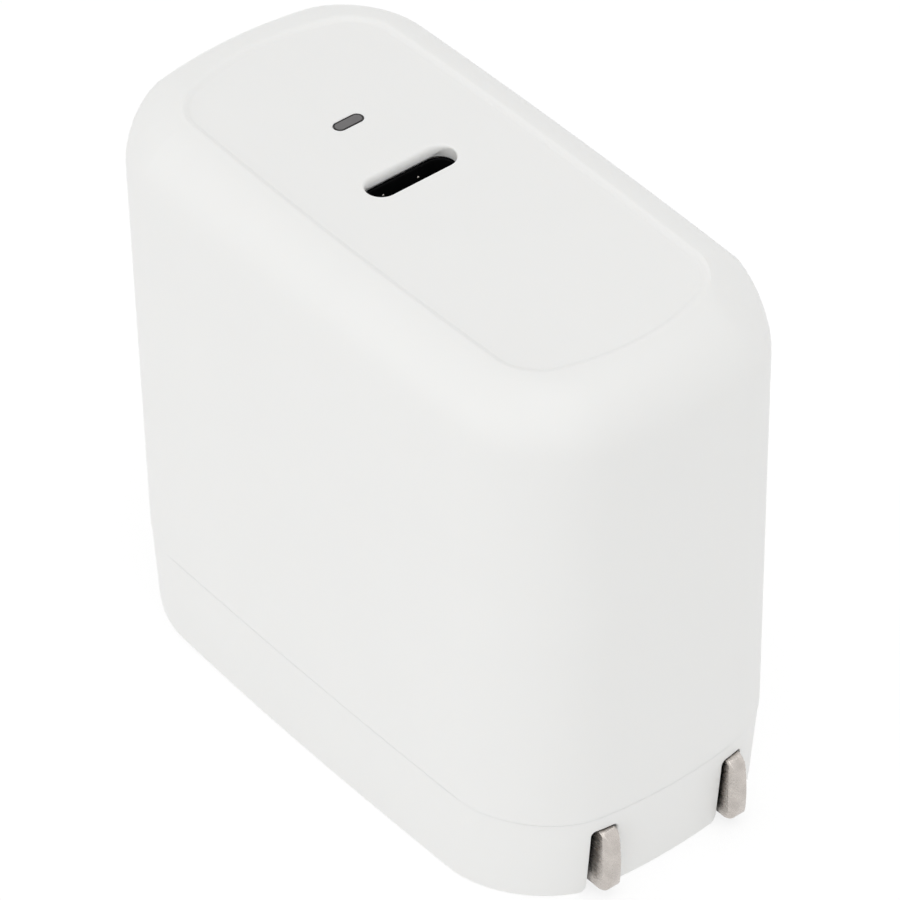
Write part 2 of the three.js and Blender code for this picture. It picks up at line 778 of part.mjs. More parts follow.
// The light sits on the back of the port board, at the end of the light pipe's arm.
function ledChip() {
  const depth = [portBoardBack - gap - ledThickness, portBoardBack - gap];
  return block(depth, about(windowY, ledWidth / 2), [pipeArmFoot, pipeArmTop]);
}

// ---------------------------------------------------------------- main board and its components

function mainBoard() {
  return block(about(0, boardHalf), [boardBack, boardFace], [boardFoot, boardTop]);
}

function insulationFilm() {
  const back = -cavityHalfDepth + gap;
  return block(about(0, ribReach - gap), [back, back + filmThickness], [boardFoot, boardTop]);
}

// A flat component on the main board.
function boxOnBoard(x, z, width, height, thickness) {
  return block(about(x, width / 2), [seat, seat + thickness], about(z, height / 2));
}

// A chip on one side of the port board.
function chipOnPortBoard(side, y, z, width, height) {
  const face = side > 0 ? portBoardFace : portBoardBack;
  const depth = ordered(face + side * gap, face + side * (gap + chipThickness));
  return block(depth, about(y, width / 2), about(z, height / 2));
}

// A round can standing on the main board.
function canOnBoard(x, z, diameter, length) {
  return barY(diameter / 2, [seat, seat + length], x, z);
}

function bulkCapacitor(z) {
  return canOnBoard(bulkX, z, bulkDiameter, bulkLength);
}

function outputCapacitor(x) {
  return canOnBoard(x, outputFoot + outputDiameter / 2, outputDiameter, outputLength);
}

// The header between the main board and the port board's edge.
function boardHeader() {
  const foot = portBoardFoot + gap;
  return block(about(portBoardX, headerWidth / 2), [seat, portBoardNear - gap], [foot, foot + headerLength]);
}

// Half of a ferrite core: a plate with two legs and a round middle post.
function coreHalf(side) {
  const far = coreMiddle + (side * coreDepth) / 2;
  const near = coreMiddle + (side * gap) / 2;
  const height = about(coreZ, coreHeight / 2);
  const plate = block(about(coreX, coreWidth / 2), ordered(far, far - side * corePlate), height);
  const legs = [-1, 1].map((end) => block(
    about(coreX + (end * (coreWidth - coreLeg)) / 2, coreLeg / 2),
    ordered(near, far),
    height,
  ));
  const post = barY(corePostRadius, ordered(near, far), coreX, coreZ);
  return join([plate, ...legs, post]);
}

function bobbin() {
  const bore = corePostRadius + gap;
  const tube = barY(bore + bobbinWall, about(coreMiddle, bobbinHalf), coreX, coreZ);
  const flanges = [-1, 1].map((side) => {
    const outer = coreMiddle + side * bobbinHalf;
    return barY(bobbinRadius, ordered(outer, outer - side * bobbinWall), coreX, coreZ);
  });
  const hole = barY(bore, about(coreMiddle, coreDepth), coreX, coreZ);
  return join([tube, ...flanges]).subtract(hole);
}

function winding() {
  const inner = windingRadius - windingThickness;
  const half = bobbinHalf - bobbinWall - gap;
  const outer = barY(windingRadius, about(coreMiddle, half), coreX, coreZ);
  return outer.subtract(barY(inner, about(coreMiddle, coreDepth), coreX, coreZ));
}

// A ring about the X axis with a square section.
function ringX(outer, inner, thickness) {
  const half = thickness / 2;
  const profile = [[inner, -half], [outer, -half], [outer, half], [inner, half], [inner, -half]];
  const points = profile.map(([radius, x]) => new THREE.Vector2(radius, x));
  const geometry = new THREE.LatheGeometry(points, roundSides);
  geometry.rotateZ(-Math.PI / 2);
  geometry.translate(chokeX, chokeY, chokeZ);
  return toSolid(geometry);
}

function chokeCore() {
  return ringX(chokeDiameter / 2, chokeBore / 2, chokeThickness);
}

// A winding wrapped round part of the choke's ring, above or below its middle.
function chokeWinding(side) {
  const grow = gap / 2 + chokeWindingThickness;
  const body = ringX(chokeDiameter / 2 + grow, chokeBore / 2 - grow, chokeThickness + 2 * grow);
  const room = ringX(chokeDiameter / 2 + gap / 2, chokeBore / 2 - gap / 2, chokeThickness + gap);
  const wedge = new THREE.Shape();
  const half = THREE.MathUtils.degToRad(chokeWindingSweep / 2);
  const middle = (side * Math.PI) / 2;
  wedge.moveTo(0, 0);
  wedge.lineTo(chokeDiameter * Math.cos(middle - half), chokeDiameter * Math.sin(middle - half));
  wedge.absarc(0, 0, chokeDiameter, middle - half, middle + half);
  wedge.closePath();
  const options = { depth: 2 * chokeDiameter, bevelEnabled: false, curveSegments: 6 };
  const geometry = new THREE.ExtrudeGeometry(wedge, options);
  geometry.rotateY(Math.PI / 2);
  geometry.rotateX(Math.PI / 2);
  geometry.translate(chokeX - chokeDiameter, chokeY, chokeZ);
  return body.subtract(room).intersect(toSolid(geometry));
}

function chokeBase() {
  return boxOnBoard(chokeX, chokeZ, chokeColumn, chokeDiameter, chokeBaseThickness);
}

function xCapacitor() {
  const z = xCapFoot + xCapHeight / 2;
  return boxOnBoard(chokeX, z, chokeColumn - pieceSpace, xCapHeight, xCapDepth);
}

function heatSpreader() {
  const reach = cavityHalfLengthAt(spreaderFace) - spreaderMargin;
  return block(about(0, reach), [spreaderBack, spreaderFace], [boardFoot + spreaderMargin, boardTop - spreaderMargin]);
}

function thermalPad() {
  const depth = [spreaderBack - gap - padThickness, spreaderBack - gap];
  return block(about(coreX, padWidth / 2), depth, about(coreZ, padHeight / 2));
}

// The disc capacitor stands on edge across the board.
function yCapacitor() {
  return barZ(yCapRadius, about(stripZ, yCapThickness / 2), yCapX, seat + yCapRadius, roundSides);
}

function bridgeRectifier() {
  const z = boardTop - pieceSpace - bridgeHeight / 2;
  return boxOnBoard(bridgeX, z, bridgeWidth, bridgeHeight, bridgeThickness);
}

function powerSwitch() {
  const z = boardTop - pieceSpace - switchHeight / 2;
  return boxOnBoard(switchX, z, switchWidth, switchHeight, switchThickness);
}

function powerDeliveryController() {
  const z = shellBack - gap - controllerHeight / 2;
  return chipOnPortBoard(1, portY, z, controllerWidth, controllerHeight);
}

function outputRectifier() {
  const z = portBoardFoot + pieceSpace + rectifierHeight / 2;
  return chipOnPortBoard(-1, portY, z, rectifierWidth, rectifierHeight);
}

// ---------------------------------------------------------------- scene graph

const adapter = new THREE.Group();
adapter.name = 'laptop_power_adapter';

// One mesh per piece, with its own material.
function addPiece(name, solid, [color, roughness, metalness]) {
  const { vertProperties, triVerts } = solid.getMesh();
  const geometry = new THREE.BufferGeometry();
  geometry.setAttribute('position', new THREE.BufferAttribute(vertProperties, 3));
  geometry.setIndex(new THREE.BufferAttribute(triVerts, 1));
  geometry.computeVertexNormals();
  const material = new THREE.MeshStandardMaterial({ color, roughness, metalness });
  const mesh = new THREE.Mesh(geometry, material);
  mesh.name = name;
  adapter.add(mesh);
}

// Looks, as colour, roughness and metalness.
const whitePlastic = [0xebebe9, 0.55, 0];
const blackPlastic = [0x18181a, 0.6, 0];
const greyPlastic = [0x8c8f92, 0.6, 0];
const nickel = [0xb9b7b1, 0.3, 1];
const steel = [0xc4c6c8, 0.35, 1];
const brass = [0xc9a45c, 0.35, 1];
const gold = [0xd8b25a, 0.3, 1];
const blackNickel = [0x1d1d1f, 0.4, 1];
const copper = [0xb8703c, 0.4, 1];
const aluminium = [0xd0d2d3, 0.4, 1];
const ferrite = [0x3a3a3c, 0.7, 0];
const boardGreen = [0x1f5b38, 0.6, 0];
const resinYellow = [0xd8b23a, 0.6, 0];
const resinBlue = [0x2f6fb0, 0.6, 0];
const clearPlastic = [0x6f7173, 0.35, 0];
const filmAmber = [0xcaa24a, 0.5, 0];
const padPink = [0xc9a6b4, 0.8, 0];

addPiece('main_housing', mainHousing(), whitePlastic);
addPiece('base_cover', baseCover(), whitePlastic);
addPiece('prong_carrier', prongCarrier(), whitePlastic);
addPiece('blade_line', blade(1), nickel);
addPiece('blade_neutral', blade(-1), nickel);
addPiece('carrier_retainer', carrierRetainer(), greyPlastic);
addPiece('retainer_screw_rear', retainerScrew(-1), steel);
addPiece('retainer_screw_front', retainerScrew(1), steel);
addPiece('contact_spring_line', contactSpring(1), brass);
addPiece('contact_spring_neutral', contactSpring(-1), brass);
addPiece('detent_spring', detentSpring(), steel);
addPiece('wire_line', wireLine(), blackPlastic);
addPiece('wire_neutral', wireNeutral(), greyPlastic);
addPiece('main_board', mainBoard(), boardGreen);
addPiece('insulation_film', insulationFilm(), filmAmber);
addPiece('port_board', portBoard(), boardGreen);
addPiece('board_header', boardHeader(), blackPlastic);
addPiece('usb_shell', usbShell(), blackNickel);
addPiece('usb_insulator', usbInsulator(), blackPlastic);
addPiece('usb_contacts_front', usbContacts(1), gold);
addPiece('usb_contacts_rear', usbContacts(-1), gold);
addPiece('status_light_pipe', lightPipe(), clearPlastic);
addPiece('status_led', ledChip(), resinYellow);
addPiece('bulk_capacitor_lower', bulkCapacitor(bulkLowZ), resinBlue);
addPiece('bulk_capacitor_upper', bulkCapacitor(bulkHighZ), resinBlue);
addPiece('output_capacitor_left', outputCapacitor(outputLeftX), aluminium);
addPiece('output_capacitor_right', outputCapacitor(outputRightX), aluminium);
addPiece('transformer_core_rear', coreHalf(-1), ferrite);
addPiece('transformer_core_front', coreHalf(1), ferrite);
addPiece('transformer_bobbin', bobbin(), blackPlastic);
addPiece('transformer_winding', winding(), resinYellow);
addPiece('choke_core', chokeCore(), ferrite);
addPiece('choke_winding_upper', chokeWinding(1), copper);
addPiece('choke_winding_lower', chokeWinding(-1), copper);
addPiece('choke_base', chokeBase(), blackPlastic);
addPiece('x_capacitor', xCapacitor(), resinYellow);
addPiece('y_capacitor', yCapacitor(), resinBlue);
addPiece('fuse', canOnBoard(fuseX, stripZ, 2 * fuseRadius, fuseLength), blackPlastic);
addPiece('optocoupler', boxOnBoard(optoX, stripZ, optoWidth, optoHeight, optoThickness), blackPlastic);
addPiece('bridge_rectifier', bridgeRectifier(), blackPlastic);
addPiece('power_switch', powerSwitch(), blackPlastic);
addPiece('power_delivery_controller', powerDeliveryController(), blackPlastic);
addPiece('output_rectifier', outputRectifier(), blackPlastic);
addPiece('heat_spreader', heatSpreader(), aluminium);
addPiece('thermal_pad', thermalPad(), padPink);

export default adapter;
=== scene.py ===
"""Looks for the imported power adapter: a smooth white case, a port, a status window and nickel blades.

Lengths are millimetres in this script and become metres where a mesh, a lamp or the camera is made.
"""

import json
import math

import bmesh
import bpy
import numpy as np
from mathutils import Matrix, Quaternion, Vector
from mathutils.geometry import tessellate_polygon


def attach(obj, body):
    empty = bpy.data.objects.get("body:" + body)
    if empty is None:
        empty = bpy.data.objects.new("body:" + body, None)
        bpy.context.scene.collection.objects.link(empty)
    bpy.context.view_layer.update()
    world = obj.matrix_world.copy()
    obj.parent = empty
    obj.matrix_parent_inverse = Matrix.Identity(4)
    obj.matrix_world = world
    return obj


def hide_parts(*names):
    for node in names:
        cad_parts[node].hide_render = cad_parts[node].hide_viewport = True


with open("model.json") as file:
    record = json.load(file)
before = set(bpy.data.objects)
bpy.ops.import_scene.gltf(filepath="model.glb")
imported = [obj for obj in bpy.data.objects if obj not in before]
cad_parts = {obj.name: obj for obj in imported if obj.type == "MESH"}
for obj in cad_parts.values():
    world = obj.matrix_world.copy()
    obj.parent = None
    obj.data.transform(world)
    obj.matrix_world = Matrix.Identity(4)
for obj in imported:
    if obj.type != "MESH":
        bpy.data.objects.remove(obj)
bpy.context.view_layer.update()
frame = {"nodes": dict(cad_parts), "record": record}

MM = 0.001

# ---------------------------------------------------------------- sizes

# The case: its length runs along X, its depth along Y and its height along Z.
CASE_LENGTH = 52.3
CASE_DEPTH = 28.2
CASE_HEIGHT = 50.9
CORNER_RADIUS = 7.1
TOP_FILLET = 5.0
SHOULDER_HEIGHT = CASE_HEIGHT - TOP_FILLET
SOFTER_CORNERS = (1.6, 0.9)
END_BULGE = 2.35
SIDE_BULGE = 0.45
END_DRAFT = 0.5
WALL = 1.8

# The base: its outer shape, the seam above it, the deck inside it and the tongue that enters the housing.
BASE_TAPER = 0.55
BASE_END_BULGE = 1.9
BASE_CORNER_EXTRA = 0.6
BASE_CORNER_STEP = 0.14
BASE_FLOOR = 1.8
BASE_EDGE = 0.16
BACK_EASE = 0.35
FOOT_ROUND = 0.4
BACK_FOOT_ROUND = 1.5
SEAM_HEIGHT = 8.6
SEAM_HALF = 0.002
SEAM_ROUND = 0.016
SEAM_DIP = 0.06
DECK_TOP = 8.4
DECK_WALL = 1.5
TRIM_LEVELS = (0.6, SEAM_HEIGHT - 0.1)
BOSS_HALF = (9.0, 3.2)
HEEL_RIB = (10.0, 1.5)
SLOT_RIB = 1.2
TONGUE_TOP = 11.2
TONGUE_INSET = 2.1
TONGUE_WALL = 1.5
SCREW_REACH = 6.7
SCREW_ROOM = 1.1
SCREW_DEPTH = 5.0

# The recessed panel on top, and the ribs that guide the main board inside.
PANEL_INSET = 4.2
PANEL_END_EXTRA = 0.45
PANEL_FLOOR = 50.6
PANEL_LIP = 0.2
PANEL_LIP_RISE = 0.01
PANEL_EDGE = 0.42
PANEL_LEAD = 1.0
RIM_ROUND = 0.6
CAVITY_TOP = 49.55
BOARD_BACK = -11.2
BOARD_FACE = -9.6
BOARD_PLAY = 0.3
RIB_WALL = 1.2
RIB_REACH = 20.68
RIB_FOOT = 12.2
RIB_SINK = 0.3

# The port and its receptacle. A slot's place is given as (x, y) and its size as (along Y, along X).
PORT = (-3.45, -0.29)
PORT_SIZE = (8.45, 2.8)
PORT_ROUND = 0.13
PORT_EASE = (0.22, 0.27, 0.8)
SHELL_SIZE = (8.94, 3.16)
SHELL_WALL = 0.3
SHELL_MOUTH = 49.3
SHELL_BACK = 41.9
LEG_SPAN = 7.35
LEG_REACH = 1.7
LEG_ROOT = 0.4
LEG_HALF = 0.55
DIMPLE_RADIUS = 0.14
DIMPLE_SINK = 0.02
DIMPLE_Z = 48.28
DIMPLE_REACH = 1.74
COLLAR_DROP = 0.9
COLLAR_PLAY = 0.3
COLLAR_WALL = 0.9
COLLAR_ROOM = tuple(side + 2 * COLLAR_PLAY for side in SHELL_SIZE)
COLLAR_SIZE = tuple(side + 2 * COLLAR_WALL for side in COLLAR_ROOM)

# The status window: its opening, the lens with a groove round its face, and the light pipe under it.
WINDOW = (-11.32, -0.16)
WINDOW_SIZE = (2.8, 1.2)
WINDOW_ROUND = 0.06
LENS_DROP = 0.02
LENS_PLAY = 0.02
LENS_FOOT = 49.6
LENS_EDGE = 0.035
LENS_CROWN = (0.35, 0.01)
GROOVE_DEPTH = 0.12
GROOVE_WALLS = (0.06, 0.13)
GROOVE_LIP = 0.16
PIPE_PLAY = 0.1
PIPE_FOOT = 45.65
PIPE_NECK = 49.4
PIPE_FLANGE_HALF = (1.1, 1.9)
PIPE_FLANGE_LEVELS = (48.45, 49.25)
PIPE_ARM_END = -7.76
PIPE_ARM_HALF = 1.1
PIPE_ARM_TOP = 47.25

# The folding plug. What differs between the two sides is given for -Y as -1 and for +Y as 1.
PIVOT = (7.0, 0.0, 3.875)
BLADE_Y = {-1: -6.37, 1: 6.48}
BLADE_WIDTH = 6.35
BLADE_THICKNESS = 1.5
BLADE_REACH = {-1: 21.54, 1: 21.7}
BLADE_BOW = 0.5
BLADE_CORNER = 1.0
BLADE_EDGE = 0.16
BLADE_BEVEL = 0.9
LEAST_BEVEL = 0.3
BLADE_TIP = 0.8
TIP_ROUND = 0.12
NECK_WIDTH = 2.4
NECK_LENGTH = 0.6
HEEL_REACH = 3.0
BARREL_RADIUS = 3.3
BARREL_HALF = 8.35
BARREL_ROUND = 0.25
BARREL_EDGE = 0.1
PIN_RADIUS = 1.5
PIN_TIP = 10.05
PIN_PLAY = 0.3
ROOT_PLAY = 0.08
DETENT_RADIUS = 0.6
DETENT_HALF = 2.5
POCKET_RADIUS = 3.7
POCKET_HALF = 8.65
SLOT_WALLS = {-1: (-7.72, -5.45), 1: (5.42, 7.5)}
SLOT_TOP = 7.2
SLOT_ROUND = 0.5
SLOT_FOOT = 1.1
MOUTH_ROUND = {-1: 0.25, 1: 0.2}

# Small steps that keep points apart, and how far a cutter passes below or beyond a face, and above it.
SLIVER = 0.001
SMALL_STEP = 0.05
CUT_PAST = 2.0
CUT_OVER = 1.0

# Finishes: the sockets that all share.
PLASTIC_IOR = 1.46
SCATTER_DEPTH = 0.3
NOISE_SPAN = (0.3, 0.7)
# How far painted shade in hollows multiplies a colour down, from fully enclosed to open.
PAINTED_SHADE_LEVELS = (0.04, 1.0)

# The floor, the surround and the camera.
FLOOR_HALF = 3.0
FLOOR_SHARE = 0.22
FLOOR_GLOW = 0.12
BOUNCE_GREY = 0.62
BOUNCE_GLOW = 0.34
SURROUND_LEVEL = 0.74
CAMERA_TURN = (51.736, 40.598, -1.144)
CAMERA_AIM = (0.551, -0.124, 24.839)
CAMERA_DISTANCE = 515.255
CAMERA_LENS = 260.6

# ---------------------------------------------------------------- sections


def angles(steps, sweep=math.pi / 2):
    """Angles in even steps from 0 to a sweep."""
    return np.linspace(0, sweep, steps + 1)


def outline(half_x, half_y, radius, bow_x, bow_y):
    """A rounded rectangle whose sides bow outwards, counter-clockwise from +X."""
    turn = angles(24)
    corners = ((1, 1), (-1, 1), (-1, -1), (1, -1))
    arcs = []
    for quarter, (side_x, side_y) in enumerate(corners):
        angle = turn + quarter * math.pi / 2
        x = side_x * (half_x - radius) + radius * np.cos(angle)
        y = side_y * (half_y - radius) + radius * np.sin(angle)
        arcs.append(np.column_stack((x, y)))
    points = []
    for arc, following in zip(arcs, arcs[1:] + arcs[:1]):
        share = np.linspace(0, 1, 21)[1:-1, None]
        points += [arc, arc[-1] * (1 - share) + following[0] * share]
    x, y = np.vstack(points).T
    return np.column_stack((
        x * (1 + bow_x / half_x * (1 - (y / half_y) ** 2)),
        y * (1 + bow_y / half_y * (1 - (x / half_x) ** 2)),
    ))


def end_size(z):
    """Half the case's length at its corners, the bow of its ends and the share of the base above a height."""
    lean = min(max((SHOULDER_HEIGHT - z) / (SHOULDER_HEIGHT - SEAM_HEIGHT), 0), 1)
    drop = min(max((SEAM_HEIGHT - z) / SEAM_HEIGHT, 0), 1)
    half_x = CASE_LENGTH / 2 - END_DRAFT * lean - BASE_TAPER * drop
    return half_x, END_BULGE + (BASE_END_BULGE - END_BULGE) * drop, drop


def case_ring(z, inset=0.0, end_extra=0.0, step=0.0):
    """The case's section at a height, set in from its outer face."""
    half_x, bow, drop = end_size(z)
    radius = CORNER_RADIUS + BASE_CORNER_EXTRA * drop + step - inset
    flat = outline(half_x - inset - end_extra, CASE_DEPTH / 2 - inset, radius, bow, SIDE_BULGE)
    flat[:, 0] -= BACK_EASE * drop * np.clip(-flat[:, 0] / half_x, 0, 1)
    return np.column_stack((flat, np.full(len(flat), z)))


def corner_share(ring):
    """How near each point of a section is to the middle of a corner, from 0 to 1."""
    along = (np.abs(ring[:, 0]) - (CASE_LENGTH / 2 - CORNER_RADIUS)) / CORNER_RADIUS
    across = (np.abs(ring[:, 1]) - (CASE_DEPTH / 2 - CORNER_RADIUS)) / CORNER_RADIUS
    return np.clip(2 * np.clip(along, 0, 1) * np.clip(across, 0, 1), 0, 1)


def softer_corner(ring):
    """How much larger the top edge's radius is round two opposite corners of the case."""
    larger = np.where(ring[:, 0] > 0, *SOFTER_CORNERS)
    return corner_share(ring) * larger * (ring[:, 0] * ring[:, 1] > 0)


def slot_ring(centre, size, z, grow=0.0):
    """A slot with round ends: its width along Y and its depth along X."""
    radius = size[1] / 2 + grow
    straight = (size[0] - size[1]) / 2
    angle = np.linspace(0, math.pi, 33)
    far = np.column_stack((radius * np.cos(angle), straight + radius * np.sin(angle)))
    flat = np.vstack((far, -far)) + centre
    return np.column_stack((flat, np.full(len(flat), z)))


def eased_rim(centre, size, z, radius, ease):
    """Rings down a slot's rim: a small radius, which opens on the -X side to a long, soft lead-in.

    The ease says how far the lead-in starts outside the slot, ends inside it and reaches down.
    """
    plain = slot_ring(centre, size, z)
    way = slot_ring(centre, size, z, 1.0) - plain
    share = np.clip(-way[:, 0], 0, 1)[:, None] ** 2
    outer = radius + (ease[0] - radius) * share
    inner = ease[1] * share
    deep = radius + (ease[2] - radius) * share
    rings = []
    for angle in angles(11):
        across = (outer + inner) * (1 - math.sin(angle)) - inner
        rings.append(plain + way * across - deep * (1 - math.cos(angle)) * np.array((0, 0, 1)))
    return rings


def rounded(line, radius, steps=6):
    """A line through points in a plane, with each inner corner turned on a radius."""
    line = [np.array(p, float) for p in line]
    out = [line[0]]
    for before, corner, after in zip(line, line[1:], line[2:]):
        back = (before - corner) / np.linalg.norm(before - corner)
        ahead = (after - corner) / np.linalg.norm(after - corner)
        half = math.acos(np.clip(back @ ahead, -1, 1)) / 2
        reach = radius / math.tan(half)
        centre = corner + (back + ahead) / np.linalg.norm(back + ahead) * radius / math.sin(half)
        start = corner + back * reach - centre
        end = corner + ahead * reach - centre
        sweep = math.pi - 2 * half
        for i in range(steps + 1):
            share = i / steps
            mix = (start * math.sin((1 - share) * sweep) + end * math.sin(share * sweep)) / math.sin(sweep)
            out.append(centre + mix)
    return out + [line[-1]]


# ---------------------------------------------------------------- meshes


class Shape:
    """Points and faces gathered into one mesh."""

    def __init__(self):
        self.points = []
        self.faces = []

    def ring(self, points):
        """Adds points and returns their indices."""
        start = len(self.points)
        self.points += [tuple(p) for p in points]
        return list(range(start, start + len(points)))

    def bridge(self, lower, upper):
        """Joins two rings of as many points by four-sided faces."""
        count = len(lower)
        for i in range(count):
            j = (i + 1) % count
            self.faces.append((lower[i], lower[j], upper[j], upper[i]))

    def sleeve(self, rings):
        """Joins rings in turn and returns the indices of the first and last."""
        made = [self.ring(r) for r in rings]
        for lower, upper in zip(made, made[1:]):
            self.bridge(lower, upper)
        return made[0], made[-1]

    def fill(self, *loops):
        """A flat face inside the first loop and outside the others."""
        outlines = [[Vector(self.points[i]) for i in loop] for loop in loops]
        order = [i for loop in loops for i in loop]
        for a, b, c in tessellate_polygon(outlines):
            self.faces.append((order[a], order[b], order[c]))

    def mesh(self, name):
        """The gathered faces as a mesh in metres, with their normals outwards."""
        mesh = bpy.data.meshes.new(name)
        mesh.from_pydata([tuple(c * MM for c in p) for p in self.points], [], self.faces)
        work = bmesh.new()
        work.from_mesh(mesh)
        bmesh.ops.recalc_face_normals(work, faces=work.faces)
        work.to_mesh(mesh)
        work.free()
        return mesh


def link(name, mesh):
    """Puts a mesh into the scene as an object."""
    item = bpy.data.objects.new(name, mesh)
    bpy.context.scene.collection.objects.link(item)
    return item


def loft(rings, name):
    """A closed solid through rings of points in turn, with a flat cap at each end."""
    shape = Shape()
    for end in shape.sleeve(rings):
        shape.fill(end)
    return link(name, shape.mesh(name))


def apply_modifiers(item):
    """Replaces an object's mesh by what its modifiers make of it."""
    bpy.context.view_layer.update()
    graph = bpy.context.evaluated_depsgraph_get()
    made = bpy.data.meshes.new_from_object(item.evaluated_get(graph))
    old = item.data
    item.modifiers.clear()
    item.data = made
    bpy.data.meshes.remove(old)


def combine(item, others, operation):
    """Joins closed shapes to an object or cuts them from it, and uses them up."""
    for other in others:
        modifier = item.modifiers.new("combine", "BOOLEAN")
        modifier.operation = operation
        modifier.solver = "EXACT"
        modifier.object = other
        apply_modifiers(item)
        bpy.data.objects.remove(other)
    return item


def smooth(item, angle=40):
    """Smooth shading that keeps flat faces flat and edges sharper than the angle sharp."""
    item.data.polygons.foreach_set("use_smooth", [True] * len(item.data.polygons))
    item.data.set_sharp_from_angle(angle=math.radians(angle))
    modifier = item.modifiers.new("normals", "WEIGHTED_NORMAL")
    modifier.mode = "FACE_AREA"
    modifier.keep_sharp = True


def soften(item, width, segments=3, angle=30):
    """Rounds an object's edges."""
    modifier = item.modifiers.new("edges", "BEVEL")
    modifier.width = width * MM
    modifier.segments = segments
    modifier.limit_method = "ANGLE"
    modifier.angle_limit = math.radians(angle)
    modifier.use_clamp_overlap = True
    modifier.miter_outer = "MITER_ARC"
    apply_modifiers(item)


def block(x, y, z):
    """A box between two limits on each axis."""
    corners = [(x[i], y[j]) for i, j in ((0, 0), (1, 0), (1, 1), (0, 1))]
    return loft([[(a, b, level) for a, b in corners] for level in z], "block")


def about(centre, half):
    """The limits of a span about its middle."""
    return (centre - half, centre + half)


def turned(profile, centre, name, steps=64):
    """A solid of revolution about a line along Y, from points given as (y, radius)."""
    angle = np.linspace(0, 2 * math.pi, steps, endpoint=False)
    rings = []
    for y, radius in profile:
        x = centre[0] + radius * np.cos(angle)
        z = centre[2] + radius * np.sin(angle)
        rings.append(np.column_stack((x, np.full(steps, y), z)))
    return loft(rings, name)


# ---------------------------------------------------------------- finishes


def two_tone(tree, share, positions, tones):
    """A colour that goes from one tone to another as a share passes between two positions."""
    ramp = tree.nodes.new("ShaderNodeValToRGB")
    for element, position, tone in zip(ramp.color_ramp.elements, positions, tones):
        element.position = position
        element.color = (*tone, 1)
    tree.links.new(share, ramp.inputs["Fac"])
    return ramp.outputs["Color"]


def painted_crevice_shade(tree, color, reach, fade):
    """Paints shade into a colour: darker where another face is within reach, fading out between two shares of
    open space.
    """
    nearby = tree.nodes.new("ShaderNodeAmbientOcclusion")
    nearby.samples = 16
    nearby.inputs["Distance"].default_value = reach * MM
    tones = [(level, level * 0.97, level * 0.95) for level in PAINTED_SHADE_LEVELS]
    blend = tree.nodes.new("ShaderNodeMix")
    blend.data_type = "RGBA"
    blend.blend_type = "MULTIPLY"
    blend.inputs["Factor"].default_value = 1.0
    tree.links.new(color, blend.inputs["A"])
    tree.links.new(two_tone(tree, nearby.outputs["AO"], fade, tones), blend.inputs["B"])
    return blend.outputs["Result"]


def finish(name, color, roughness, metallic=0.0, mottle=0.03, mottle_size=6.0, wear=0.05, grain=0.1,
           depth=0.002, stretch=(1, 1, 1), coat=0.0, scratch=0.0, scatter=0.0, shine=0.5, shade_reach=0.0,
           shade_fade=(0.0, 1.0)):
    """A moulded, plated or painted surface: broad colour variation, uneven gloss and a fine grain.

    The colour varies by the mottle and the roughness by the wear. The grain's bumps have a size, a depth
    and a stretch on each axis, and scratches are broader bumps. The shade reach is how far painted shade
    darkens hollows, and the shade fade gives the two shares of open space that it fades between.
    """
    mat = bpy.data.materials.new(name)
    mat.use_nodes = True
    tree = mat.node_tree
    nodes, links = tree.nodes, tree.links
    shader = nodes["Principled BSDF"]
    shader.inputs["Metallic"].default_value = metallic
    shader.inputs["IOR"].default_value = PLASTIC_IOR
    shader.inputs["Coat Weight"].default_value = coat
    shader.inputs["Specular IOR Level"].default_value = shine
    shader.inputs["Subsurface Weight"].default_value = scatter
    shader.inputs["Subsurface Radius"].default_value = (1.0, 0.95, 0.9)
    shader.inputs["Subsurface Scale"].default_value = SCATTER_DEPTH * MM
    place = nodes.new("ShaderNodeTexCoord").outputs["Object"]

    def noise(size, detail, scale=(1, 1, 1)):
        mapping = nodes.new("ShaderNodeMapping")
        mapping.inputs["Scale"].default_value = scale
        links.new(place, mapping.inputs["Vector"])
        texture = nodes.new("ShaderNodeTexNoise")
        texture.inputs["Scale"].default_value = 1 / (size * MM)
        texture.inputs["Detail"].default_value = detail
        links.new(mapping.outputs["Vector"], texture.inputs["Vector"])
        return texture.outputs["Fac"]

    def bump(height, distance, under=None):
        node = nodes.new("ShaderNodeBump")
        node.inputs["Distance"].default_value = distance * MM
        links.new(height, node.inputs["Height"])
        if under:
            links.new(under, node.inputs["Normal"])
        return node.outputs["Normal"]

    tones = [[min(c * (1 + way * mottle), 1) for c in color] for way in (-1, 1)]
    tint = two_tone(tree, noise(mottle_size, 3), NOISE_SPAN, tones)
    # Painted shade: the colour is darkened where other faces are near, as if shade fell there.
    if shade_reach:
        tint = painted_crevice_shade(tree, tint, shade_reach, shade_fade)
    links.new(tint, shader.inputs["Base Color"])
    gloss = nodes.new("ShaderNodeMapRange")
    gloss.inputs["From Min"].default_value, gloss.inputs["From Max"].default_value = NOISE_SPAN
    gloss.inputs["To Min"].default_value = roughness - wear
    gloss.inputs["To Max"].default_value = roughness + wear
    links.new(noise(mottle_size / 4, 4, stretch), gloss.inputs["Value"])
    links.new(gloss.outputs["Result"], shader.inputs["Roughness"])
    normal = bump(noise(grain, 2, stretch), depth)
    if scratch:
        normal = bump(noise(mottle_size / 3, 5), scratch, normal)
    links.new(normal, shader.inputs["Normal"])
    return mat


